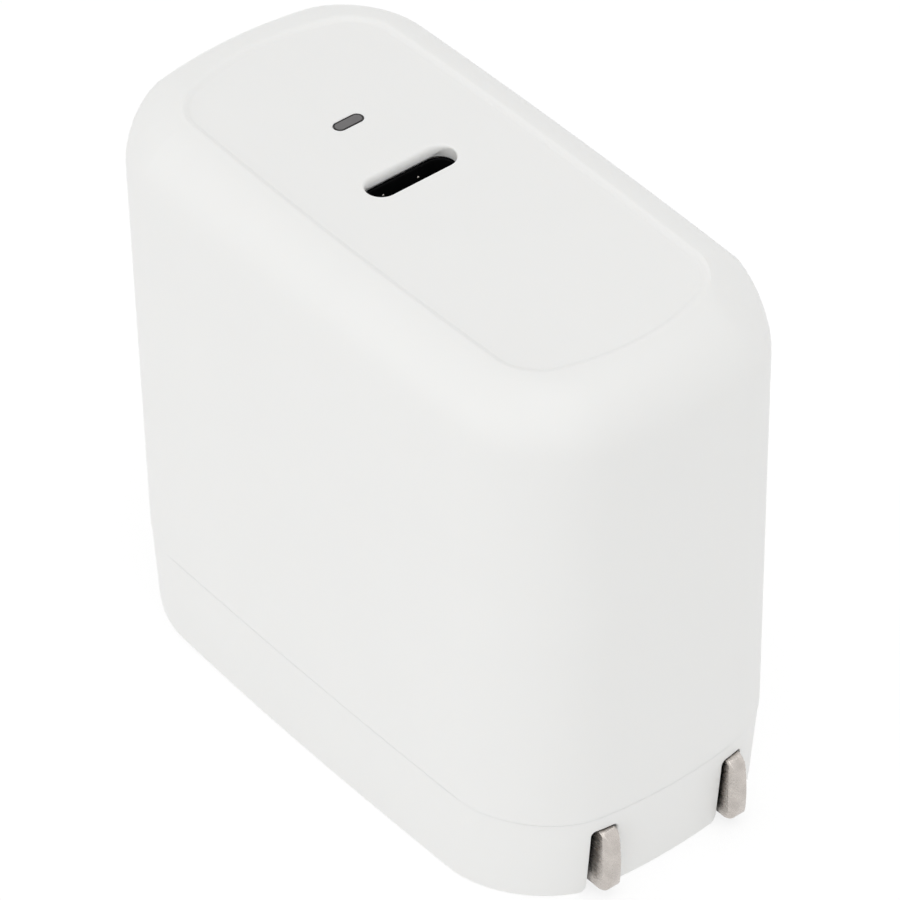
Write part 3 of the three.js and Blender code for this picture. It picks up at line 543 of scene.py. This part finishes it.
LOOKS = {
    "case_white": dict(color=(0.832, 0.832, 0.820), roughness=0.46, mottle=0.004, mottle_size=9, wear=0.04,
                       grain=0.11, depth=0.0035, scatter=0.4),
    # The nickel gets painted shade where the case is near: its flanks go dark inside and beside the blade
    # slots.
    "nickel_plate": dict(color=(0.555, 0.531, 0.508), roughness=0.27, metallic=1, mottle=0.09,
                         mottle_size=0.9, wear=0.08, grain=0.1, depth=0.007, stretch=(0.4, 1, 1),
                         scratch=0.02, shade_reach=1.4, shade_fade=(0.27, 0.54)),
    "grey_plastic": dict(color=(0.26, 0.27, 0.28), roughness=0.5, mottle=0.03),
    "spring_steel": dict(color=(0.56, 0.57, 0.57), roughness=0.3, metallic=1, mottle=0.04, mottle_size=2,
                         stretch=(0.1, 1, 1)),
    "contact_brass": dict(color=(0.62, 0.42, 0.13), roughness=0.3, metallic=1, mottle=0.06, mottle_size=2,
                          stretch=(0.1, 1, 1)),
    "black_plastic": dict(color=(0.012, 0.012, 0.013), roughness=0.5, mottle=0.1, mottle_size=3),
    "board_green": dict(color=(0.012, 0.09, 0.035), roughness=0.35, mottle=0.2, mottle_size=1.5, coat=0.3,
                        grain=0.4, depth=0.01),
    "insulation_film": dict(color=(0.55, 0.34, 0.07), roughness=0.25, mottle=0.05, mottle_size=8,
                            grain=2.0, depth=0.02, coat=0.4),
    # The receptacle's shell is black plating, made near black and almost without shine so the port's mouth
    # stays as dark as its shade: partly painted shade.
    "black_nickel": dict(color=(0.004, 0.004, 0.0045), roughness=0.6, mottle=0.1, mottle_size=1.5,
                         stretch=(1, 1, 0.2), shine=0.08),
    "gold_plate": dict(color=(0.72, 0.47, 0.14), roughness=0.25, metallic=1, mottle=0.05, mottle_size=1),
    # The window gets painted shade round its rim: a dark outline where it meets the housing.
    "smoked_window": dict(color=(0.125, 0.125, 0.128), roughness=0.34, mottle=0.05, mottle_size=0.5,
                          grain=0.12, depth=0.004, shade_reach=0.25, shade_fade=(0.0, 0.85)),
    "yellow_resin": dict(color=(0.68, 0.45, 0.05), roughness=0.4, mottle=0.05, mottle_size=4, coat=0.2),
    "blue_sleeve": dict(color=(0.03, 0.15, 0.42), roughness=0.28, mottle=0.06, mottle_size=5, coat=0.4,
                        grain=0.5, depth=0.005),
    "aluminium": dict(color=(0.68, 0.69, 0.70), roughness=0.33, metallic=1, mottle=0.03, mottle_size=3,
                      stretch=(1, 1, 0.1)),
    "ferrite": dict(color=(0.035, 0.035, 0.037), roughness=0.62, mottle=0.18, mottle_size=0.8,
                    grain=0.2, depth=0.02),
    "copper_wire": dict(color=(0.50, 0.17, 0.06), roughness=0.3, metallic=1, mottle=0.08, mottle_size=1,
                        grain=0.35, depth=0.08, stretch=(1, 0.1, 0.1)),
    "thermal_pad": dict(color=(0.57, 0.36, 0.45), roughness=0.75, mottle=0.04, mottle_size=3,
                        grain=0.3, depth=0.01),
}
FINISHES = {name: finish(name, **look) for name, look in LOOKS.items()}


def dress(item, body, slot, *nodes):
    """Gives a piece its finish and its body, and lets it stand for CAD nodes."""
    item.data.materials.clear()
    item.data.materials.append(FINISHES[slot])
    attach(item, body)
    if nodes:
        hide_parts(*nodes)
    return item


# ---------------------------------------------------------------- case


def housing_skin():
    """Rings from the seam up the housing's outer wall, over its top edge and down into the panel."""
    seam = SEAM_HEIGHT + SEAM_HALF
    rings = [case_ring(seam, WALL)]
    for angle in angles(5):
        inset = SEAM_ROUND * (1 - math.sin(angle))
        rings.append(case_ring(seam + SEAM_ROUND * (1 - math.cos(angle)), inset))
    softer = softer_corner(case_ring(SHOULDER_HEIGHT))
    for z in np.linspace(seam + SEAM_ROUND, SHOULDER_HEIGHT, 14)[1:]:
        ring = case_ring(z)
        ring[:, 2] -= softer * (z - seam) / (SHOULDER_HEIGHT - seam)
        rings.append(ring)
    sweep = math.acos(1 - PANEL_INSET / TOP_FILLET)
    inward = case_ring(SHOULDER_HEIGHT, 1) - case_ring(SHOULDER_HEIGHT)
    for angle in angles(24, sweep)[1:]:
        inset = TOP_FILLET * (1 - math.cos(angle))
        extra = PANEL_END_EXTRA * (inset / PANEL_INSET) ** 2
        ring = case_ring(SHOULDER_HEIGHT + TOP_FILLET * math.sin(angle), inset, extra)
        ring += inward * softer[:, None] * (1 - math.cos(angle)) * (1 - (angle / sweep) ** 4)
        ring[:, 2] -= softer * (1 - math.sin(angle))
        rings.append(ring)
    rim = SHOULDER_HEIGHT + TOP_FILLET * math.sin(sweep)
    lip = PANEL_INSET + PANEL_LIP
    line = [(PANEL_INSET, rim), (lip, rim + PANEL_LIP_RISE)]
    line += [(lip + PANEL_EDGE, PANEL_FLOOR), (PANEL_INSET + PANEL_LEAD, PANEL_FLOOR)]
    for inset, z in rounded(line, RIM_ROUND)[1:]:
        rings.append(case_ring(z, inset, PANEL_END_EXTRA))
    return rings


def port_hole():
    """Rings from the panel down the port, out round the receptacle's room and down the collar."""
    under = CAVITY_TOP - SMALL_STEP
    foot = CAVITY_TOP - COLLAR_DROP
    levels = ((PORT_SIZE, PANEL_FLOOR - PORT_EASE[2] - SMALL_STEP), (PORT_SIZE, under), (COLLAR_ROOM, under),
              (COLLAR_ROOM, foot), (COLLAR_SIZE, foot), (COLLAR_SIZE, CAVITY_TOP))
    rings = eased_rim(PORT, PORT_SIZE, PANEL_FLOOR, PORT_ROUND, PORT_EASE)
    return rings + [slot_ring(PORT, size, z) for size, z in levels]


def window_hole():
    """Rings from the panel down the window's opening."""
    ease = (WINDOW_ROUND, 0, WINDOW_ROUND)
    rings = eased_rim(WINDOW, WINDOW_SIZE, PANEL_FLOOR, WINDOW_ROUND, ease)
    return rings + [slot_ring(WINDOW, WINDOW_SIZE, CAVITY_TOP)]


def housing():
    """The main housing: skin, recessed panel, port, window, collar and cavity, as one closed shell."""
    shape = Shape()
    first, panel = shape.sleeve(housing_skin())
    port_rim, collar = shape.sleeve(port_hole())
    window_rim, window = shape.sleeve(window_hole())
    shape.fill(panel, port_rim, window_rim)
    inner = TOP_FILLET - WALL
    ceiling = []
    for angle in angles(8):
        inset = WALL + inner * (1 - math.cos(angle))
        ceiling.append(case_ring(CAVITY_TOP - inner + inner * math.sin(angle), inset))
    low, top = shape.sleeve(ceiling)
    shape.bridge(first, low)
    shape.fill(top, collar, window)
    item = link("housing_shell", shape.mesh("housing_shell"))
    combine(item, ribs(), "UNION")
    smooth(item)
    return dress(item, "case", "case_white", "main_housing")


def ribs():
    """The four guide ribs that hold the main board's edges, ending midway through the housing's wall."""
    inner = TOP_FILLET - WALL / 2
    rings = [case_ring(RIB_FOOT - 1, WALL / 2)]
    for angle in angles(8, math.radians(78)):
        inset = WALL / 2 + inner * (1 - math.cos(angle))
        rings.append(case_ring(SHOULDER_HEIGHT + inner * math.sin(angle), inset))
    core = loft(rings, "ribs")
    front = (BOARD_FACE + BOARD_PLAY, BOARD_FACE + BOARD_PLAY + RIB_WALL)
    rear = (-CASE_DEPTH, BOARD_BACK - BOARD_PLAY)
    bars = []
    for side in (-1, 1):
        width = sorted((side * RIB_REACH, side * CASE_LENGTH))
        for depth in (front, rear):
            bars.append(block(width, depth, (RIB_FOOT, CAVITY_TOP + RIB_SINK)))
    combine(bars[0], bars[1:], "UNION")
    return [combine(core, [bars[0]], "INTERSECT")]


def base_skin():
    """The base's outer wall and floor as a closed cup."""
    seam = SEAM_HEIGHT - SEAM_HALF
    edge = case_ring(0, step=BASE_CORNER_STEP)
    inward = case_ring(0, 1, step=BASE_CORNER_STEP) - edge
    upward = (case_ring(BACK_FOOT_ROUND, step=BASE_CORNER_STEP) - edge) / BACK_FOOT_ROUND
    back = np.clip(-edge[:, :1] / CASE_LENGTH * 2, 0, 1) ** 2
    foot_round = FOOT_ROUND + (BACK_FOOT_ROUND - FOOT_ROUND) * back
    rings = []
    for angle in angles(12):
        lean = inward * (1 - math.sin(angle)) + upward * (1 - math.cos(angle))
        rings.append(edge + lean * foot_round)
    for z in np.linspace(BACK_FOOT_ROUND, seam - SEAM_ROUND, 8)[1:]:
        ring = case_ring(z, step=BASE_CORNER_STEP)
        ring[:, 2] -= SEAM_DIP * corner_share(ring) * (z - BACK_FOOT_ROUND) / (seam - BACK_FOOT_ROUND)
        rings.append(ring)
    for angle in angles(5)[1:]:
        inset = SEAM_ROUND * (1 - math.cos(angle))
        ring = case_ring(seam - SEAM_ROUND * (1 - math.sin(angle)), inset, step=BASE_CORNER_STEP)
        ring[:, 2] -= SEAM_DIP * corner_share(ring)
        rings.append(ring)
    inside = TONGUE_INSET + TONGUE_WALL
    rings += [case_ring(seam, TONGUE_INSET), case_ring(TONGUE_TOP, TONGUE_INSET)]
    rings += [case_ring(TONGUE_TOP, inside), case_ring(BASE_FLOOR, inside)]
    return loft(rings, "base_shell")


def limits():
    """A solid midway through the base's wall, which the deck is trimmed to."""
    return loft([case_ring(z, WALL) for z in TRIM_LEVELS], "limits")


def slot_levels():
    """The heights of a slot cutter's rings, close together in its flared foot and its rounded roof."""
    foot = [SLOT_FOOT * (1 - math.cos(a)) for a in angles(9)]
    wall = np.linspace(SLOT_FOOT, SLOT_TOP - SLOT_ROUND, 12)[1:]
    roof = [SLOT_TOP - SLOT_ROUND * (1 - math.sin(a)) for a in angles(6)[1:]]
    return [-CUT_PAST, *foot, *wall, *roof]


def slot_cutter(side):
    """What a blade's slot takes from the base: a rounded roof, and a foot and a mouth that flare."""
    near, far = SLOT_WALLS[side]
    middle, reach = (near + far) / 2, (far - near) / 2
    back = PIVOT[0] - POCKET_RADIUS
    rings = []
    for z in slot_levels():
        rise = max(z - (SLOT_TOP - SLOT_ROUND), 0)
        drop = min(max(SLOT_FOOT - z, 0), SLOT_FOOT)
        half = reach - SLOT_ROUND + math.sqrt(max(SLOT_ROUND**2 - rise**2, 0))
        half += SLOT_FOOT - math.sqrt(SLOT_FOOT**2 - drop**2)
        half_x, bow, _ = end_size(max(z, 0))
        edge = half_x + bow * (1 - (middle / (CASE_DEPTH / 2)) ** 2)
        slope = 2 * bow * middle / (CASE_DEPTH / 2) ** 2
        ring = [(back, middle + half, z), (back, middle - half, z)]
        for way in (-1, 1):
            radius = MOUTH_ROUND[way]
            flare = []
            for angle in angles(6):
                across = half + radius * (1 - math.cos(angle))
                along = edge - radius * (1 - math.sin(angle)) - slope * way * across
                flare.append((along, middle + way * across, z))
            flare.append((edge + CUT_PAST, middle + way * (half + radius + SMALL_STEP), z))
            ring += flare if way < 0 else flare[::-1]
        rings.append(ring)
    return loft(rings, "slot")


def screw_hole(x):
    """A screw's hole, down from the top of the deck."""
    turn = np.linspace(0, 2 * math.pi, 24, endpoint=False)
    circle = [(x + SCREW_ROOM * math.cos(a), SCREW_ROOM * math.sin(a)) for a in turn]
    levels = (DECK_TOP - SCREW_DEPTH, DECK_TOP + CUT_OVER)
    return loft([[(*point, z) for point in circle] for z in levels], "screw hole")


def base():
    """The base cover with its deck, hinge pocket and blade slots."""
    x, z = PIVOT[0], PIVOT[2]
    height = (BASE_FLOOR / 2, DECK_TOP)
    deck = block(about(x, POCKET_RADIUS + DECK_WALL), about(0, CASE_DEPTH), height)
    parts = [block(about(x, BOSS_HALF[0]), about(0, BOSS_HALF[1]), height)]
    for side in (-1, 1):
        walls = (SLOT_WALLS[side][0] - SLOT_RIB, SLOT_WALLS[side][1] + SLOT_RIB)
        parts.append(block((x, CASE_LENGTH), walls, height))
        parts.append(block((x - HEEL_RIB[0], x), about(BLADE_Y[side], HEEL_RIB[1]), height))
    combine(deck, parts, "UNION")
    combine(deck, [limits()], "INTERSECT")
    item = base_skin()
    combine(item, [deck], "UNION")
    pin_half, pin_room = PIN_TIP + PIN_PLAY, PIN_RADIUS + PIN_PLAY
    over = DECK_TOP + CUT_OVER
    cuts = [slot_cutter(-1), slot_cutter(1), screw_hole(x - SCREW_REACH), screw_hole(x + SCREW_REACH)]
    cuts.append(block(about(x, POCKET_RADIUS), about(0, POCKET_HALF), (-CUT_PAST, over)))
    cuts.append(turned([(-pin_half, pin_room), (pin_half, pin_room)], PIVOT, "pins"))
    cuts.append(block(about(x, pin_room), about(0, pin_half), (z, over)))
    tongue_gap = (DECK_TOP, TONGUE_TOP + CUT_OVER)
    cuts.append(block(about(x, POCKET_RADIUS + PIN_PLAY), about(0, pin_half), tongue_gap))
    combine(item, cuts, "DIFFERENCE")
    soften(item, BASE_EDGE, angle=50)
    smooth(item)
    return dress(item, "case", "case_white", "base_cover")


# ---------------------------------------------------------------- plug


def blade_end(offset, reach):
    """How far the tip reaches from the pivot, at an offset from the blade's middle line."""
    half = BLADE_WIDTH / 2
    radius = (half**2 + BLADE_BOW**2) / (2 * BLADE_BOW)
    past = max(abs(offset) - (half - BLADE_CORNER), 0)
    corner = BLADE_CORNER - math.sqrt(max(BLADE_CORNER**2 - past**2, 0))
    return reach - radius + math.sqrt(radius**2 - offset**2) - corner


def blade(side):
    """One folding blade: a narrow root, a flat bar and a bowed, bevelled tip with rounded edges."""
    flat, half = BLADE_THICKNESS / 2, BLADE_WIDTH / 2
    slope = (flat - BLADE_TIP / 2) / BLADE_BEVEL
    shoulder = BARREL_RADIUS + NECK_LENGTH
    edge = [(BLADE_EDGE * (1 - math.cos(a)), BLADE_EDGE * (1 - math.sin(a))) for a in angles(5)]
    rows = [(rise - half, inset) for rise, inset in edge]
    rows += [(offset, 0.0) for offset in np.linspace(BLADE_EDGE - half, half - BLADE_EDGE, 41)[1:-1]]
    rows += [(half - rise, inset) for rise, inset in edge[::-1]]
    rings = []
    for offset, inset in rows:
        end = blade_end(offset, BLADE_REACH[side]) - inset
        bevel = min(BLADE_REACH[side] - BLADE_BEVEL, end - LEAST_BEVEL)
        tip = flat - inset - (end - bevel) * slope
        face = [(end, tip), (bevel, flat - inset), (shoulder, flat - inset)]
        ring = rounded([(x, -y) for x, y in face[::-1]] + face, TIP_ROUND, 5)
        rings.append([(PIVOT[0] + x, BLADE_Y[side] + y, PIVOT[2] + offset) for x, y in ring])
    node = "blade_line" if side > 0 else "blade_neutral"
    item = loft(rings, "plug_" + node)
    root_x = (PIVOT[0] - HEEL_REACH, PIVOT[0] + shoulder + 1)
    root = block(root_x, about(BLADE_Y[side], flat), about(PIVOT[2], NECK_WIDTH / 2))
    combine(item, [root], "UNION")
    smooth(item)
    return dress(item, "prongs", "nickel_plate", node)


def carrier():
    """The moulded barrel that holds both blades, with its pins, root slots and detent grooves."""
    half = [(PIN_TIP, SLIVER), (PIN_TIP, PIN_RADIUS), (BARREL_HALF + SLIVER, PIN_RADIUS)]
    half.append((BARREL_HALF, BARREL_RADIUS))
    profile = rounded([(-y, radius) for y, radius in half] + half[::-1], BARREL_ROUND)
    item = turned(profile, PIVOT, "plug_barrel", 96)
    root_x = about(PIVOT[0], BARREL_RADIUS + PIN_PLAY)
    root_z = about(PIVOT[2], NECK_WIDTH / 2 + ROOT_PLAY)
    root_half = BLADE_THICKNESS / 2 + ROOT_PLAY
    cuts = [block(root_x, about(BLADE_Y[side], root_half), root_z) for side in (-1, 1)]
    for x, z in ((0, BARREL_RADIUS), (-BARREL_RADIUS, 0)):
        centre = (PIVOT[0] + x, 0, PIVOT[2] + z)
        line = [(-DETENT_HALF, DETENT_RADIUS), (DETENT_HALF, DETENT_RADIUS)]
        cuts.append(turned(line, centre, "groove", 32))
    combine(item, cuts, "DIFFERENCE")
    soften(item, BARREL_EDGE, segments=2, angle=50)
    smooth(item)
    return dress(item, "prongs", "case_white", "prong_carrier")


# ---------------------------------------------------------------- port and window


def port_shell():
    """The receptacle's drawn metal shell, with a rolled mouth and four legs."""
    shape = Shape()
    inner = tuple(side - 2 * SHELL_WALL for side in SHELL_SIZE)
    roll = SHELL_WALL / 2
    rings = [slot_ring(PORT, inner, SHELL_BACK), slot_ring(PORT, SHELL_SIZE, SHELL_BACK)]
    for angle in angles(12, math.pi):
        grow = roll * math.cos(angle) - roll
        rings.append(slot_ring(PORT, SHELL_SIZE, SHELL_MOUTH - roll + roll * math.sin(angle), grow))
    first, last = shape.sleeve(rings)
    shape.bridge(last, first)
    item = link("port_shell", shape.mesh("port_shell"))
    wall = PORT[0] - SHELL_SIZE[1] / 2
    legs = []
    for side in (-1, 1):
        width = about(PORT[1] + side * (SHELL_SIZE[0] - SHELL_WALL) / 2, SHELL_WALL / 2)
        for share in (0.25, 0.75):
            height = about(SHELL_BACK + share * LEG_SPAN, LEG_HALF)
            legs.append(block((wall - LEG_REACH, wall + LEG_ROOT), width, height))
    combine(item, legs, "UNION")
    smooth(item)
    return dress(item, "case", "black_nickel", "usb_shell")


def port_dimple(name, y):
    """A stamped retention dimple on the receptacle's inner wall, bright where it is burnished."""
    foot = PORT[0] - SHELL_SIZE[1] / 2 + SHELL_WALL - DIMPLE_SINK
    turn = np.linspace(0, 2 * math.pi, 24, endpoint=False)
    rings = []
    for lift in angles(7, math.radians(84)):
        reach = DIMPLE_RADIUS * math.cos(lift)
        x = foot + DIMPLE_RADIUS * math.sin(lift)
        rings.append([(x, y + reach * math.cos(a), DIMPLE_Z + reach * math.sin(a)) for a in turn])
    item = loft(rings, name)
    smooth(item, 60)
    return dress(item, "case", "nickel_plate")


def window_lens():
    """The status window: a lens flush with the panel, a fine groove round its face, and its light pipe."""
    top = PANEL_FLOOR - LENS_DROP
    groove = top - GROOVE_DEPTH
    profile = [(PIPE_FOOT, PIPE_PLAY), (PIPE_NECK, PIPE_PLAY), (LENS_FOOT, LENS_PLAY)]
    profile += [(top - LENS_PLAY, LENS_PLAY), (top, LENS_EDGE)]
    profile += [(groove, GROOVE_WALLS[0]), (groove, GROOVE_WALLS[1])]
    profile += [(top, GROOVE_LIP), (top + LENS_CROWN[1], LENS_CROWN[0])]
    item = loft([slot_ring(WINDOW, WINDOW_SIZE, z, -inset) for z, inset in profile], "window_lens")
    flange_x, flange_y = (about(middle, half) for middle, half in zip(WINDOW, PIPE_FLANGE_HALF))
    flange = block(flange_x, flange_y, PIPE_FLANGE_LEVELS)
    arm = block((WINDOW[0], PIPE_ARM_END), about(WINDOW[1], PIPE_ARM_HALF), (PIPE_FOOT, PIPE_ARM_TOP))
    combine(item, [flange, arm], "UNION")
    smooth(item)
    return dress(item, "case", "smoked_window", "status_light_pipe")


# ---------------------------------------------------------------- assembly

housing()
base()
for which in (-1, 1):
    blade(which)
carrier()
port_shell()
port_dimple("port_dimple_near", PORT[1] - DIMPLE_REACH)
port_dimple("port_dimple_far", PORT[1] + DIMPLE_REACH)
window_lens()

slots = {part["node"]: part["material_slot"] for part in frame["record"]["subparts"]}
for node, item in frame["nodes"].items():
    item.data.materials.clear()
    item.data.materials.append(FINISHES[slots[node]])

# ---------------------------------------------------------------- floor, light and camera


def shown(tree):
    """1 on the rays that show a background: from the camera, off a glossy face or through glass."""
    path = tree.nodes.new("ShaderNodeLightPath").outputs
    share = path["Is Camera Ray"]
    for kind in ("Is Glossy Ray", "Is Transmission Ray"):
        either = tree.nodes.new("ShaderNodeMath")
        either.operation = "MAXIMUM"
        tree.links.new(share, either.inputs[0])
        tree.links.new(path[kind], either.inputs[1])
        share = either.outputs["Value"]
    return share


def mixed(tree, share, first, second):
    """A blend of two shaders, by a fixed share or one that a node gives."""
    node = tree.nodes.new("ShaderNodeMixShader")
    if isinstance(share, float):
        node.inputs["Fac"].default_value = share
    else:
        tree.links.new(share, node.inputs["Fac"])
    tree.links.new(first, node.inputs[1])
    tree.links.new(second, node.inputs[2])
    return node.outputs["Shader"]


def glowing(tree, grey, strength):
    """A matt grey that also gives off some light."""
    matt = tree.nodes.new("ShaderNodeBsdfDiffuse")
    matt.inputs["Color"].default_value = (grey, grey, grey, 1)
    glow = tree.nodes.new("ShaderNodeEmission")
    glow.inputs["Strength"].default_value = strength
    both = tree.nodes.new("ShaderNodeAddShader")
    tree.links.new(matt.outputs["BSDF"], both.inputs[0])
    tree.links.new(glow.outputs["Emission"], both.inputs[1])
    return both.outputs["Shader"]


def floor():
    """A pale floor at the foot of the object. Where it is seen it is a light wash, which keeps the shadow."""
    mesh = bpy.data.meshes.new("floor")
    corners = [(x * FLOOR_HALF, y * FLOOR_HALF, 0) for x, y in ((-1, -1), (1, -1), (1, 1), (-1, 1))]
    mesh.from_pydata(corners, [], [(0, 1, 2, 3)])
    item = link("floor", mesh)
    mat = bpy.data.materials.new("floor")
    mat.use_nodes = True
    tree = mat.node_tree
    tree.nodes.remove(tree.nodes["Principled BSDF"])
    clear = tree.nodes.new("ShaderNodeBsdfTransparent").outputs["BSDF"]
    seen = mixed(tree, FLOOR_SHARE, clear, glowing(tree, 1.0, FLOOR_GLOW))
    bounce = glowing(tree, BOUNCE_GREY, BOUNCE_GLOW)
    tree.links.new(mixed(tree, shown(tree), bounce, seen), tree.nodes["Material Output"].inputs["Surface"])
    mesh.materials.append(mat)


def surroundings():
    """A plain, even, pale surround, which is white where it is seen."""
    world = bpy.data.worlds.new("studio")
    world.use_nodes = True
    bpy.context.scene.world = world
    tree = world.node_tree
    even, white = tree.nodes["Background"], tree.nodes.new("ShaderNodeBackground")
    for shade, strength in ((even, SURROUND_LEVEL), (white, 1.0)):
        shade.inputs["Color"].default_value = (1, 1, 1, 1)
        shade.inputs["Strength"].default_value = strength
    both = mixed(tree, shown(tree), even.outputs["Background"], white.outputs["Background"])
    tree.links.new(both, tree.nodes["World Output"].inputs["Surface"])


def lamp(name, direction, share, distance=0.9, size=0.8):
    """A soft square lamp that adds a share of full white on a face turned towards it.

    Its distance from the middle of the case and its size are in metres.
    """
    data = bpy.data.lights.new(name, "AREA")
    data.shape = "SQUARE"
    data.size = size
    data.energy = share * math.pi**2 * distance**2
    item = bpy.data.objects.new(name, data)
    way = Vector(direction).normalized()
    item.location = Vector((0, 0, CASE_HEIGHT / 2 * MM)) + way * distance
    item.rotation_mode = "QUATERNION"
    item.rotation_quaternion = way.to_track_quat("Z", "Y")
    bpy.context.scene.collection.objects.link(item)


def camera():
    """The camera, from its azimuth, elevation and roll about the point that it aims at."""
    azimuth, elevation, roll = (math.radians(angle) for angle in CAMERA_TURN)
    back = Vector((
        math.sin(azimuth) * math.cos(elevation),
        -math.cos(azimuth) * math.cos(elevation),
        math.sin(elevation),
    ))
    data = bpy.data.cameras.new("camera")
    data.lens = CAMERA_LENS
    data.sensor_width = 36
    data.clip_start = 0.05
    data.clip_end = 20
    item = bpy.data.objects.new("camera", data)
    item.location = Vector(CAMERA_AIM) * MM + back * CAMERA_DISTANCE * MM
    item.rotation_mode = "QUATERNION"
    item.rotation_quaternion = (-back).to_track_quat("-Z", "Y") @ Quaternion((0, 0, 1), roll)
    bpy.context.scene.collection.objects.link(item)
    bpy.context.scene.camera = item


camera()
floor()
surroundings()
lamp("key", (-0.25, -0.93, 0.2), 0.175)
lamp("fill", (0.6, -0.4, 0.69), 0.13)
lamp("top", (0.1, 0.05, 0.98), 0.16, size=0.6)
bpy.context.scene.view_settings.view_transform = "Standard"
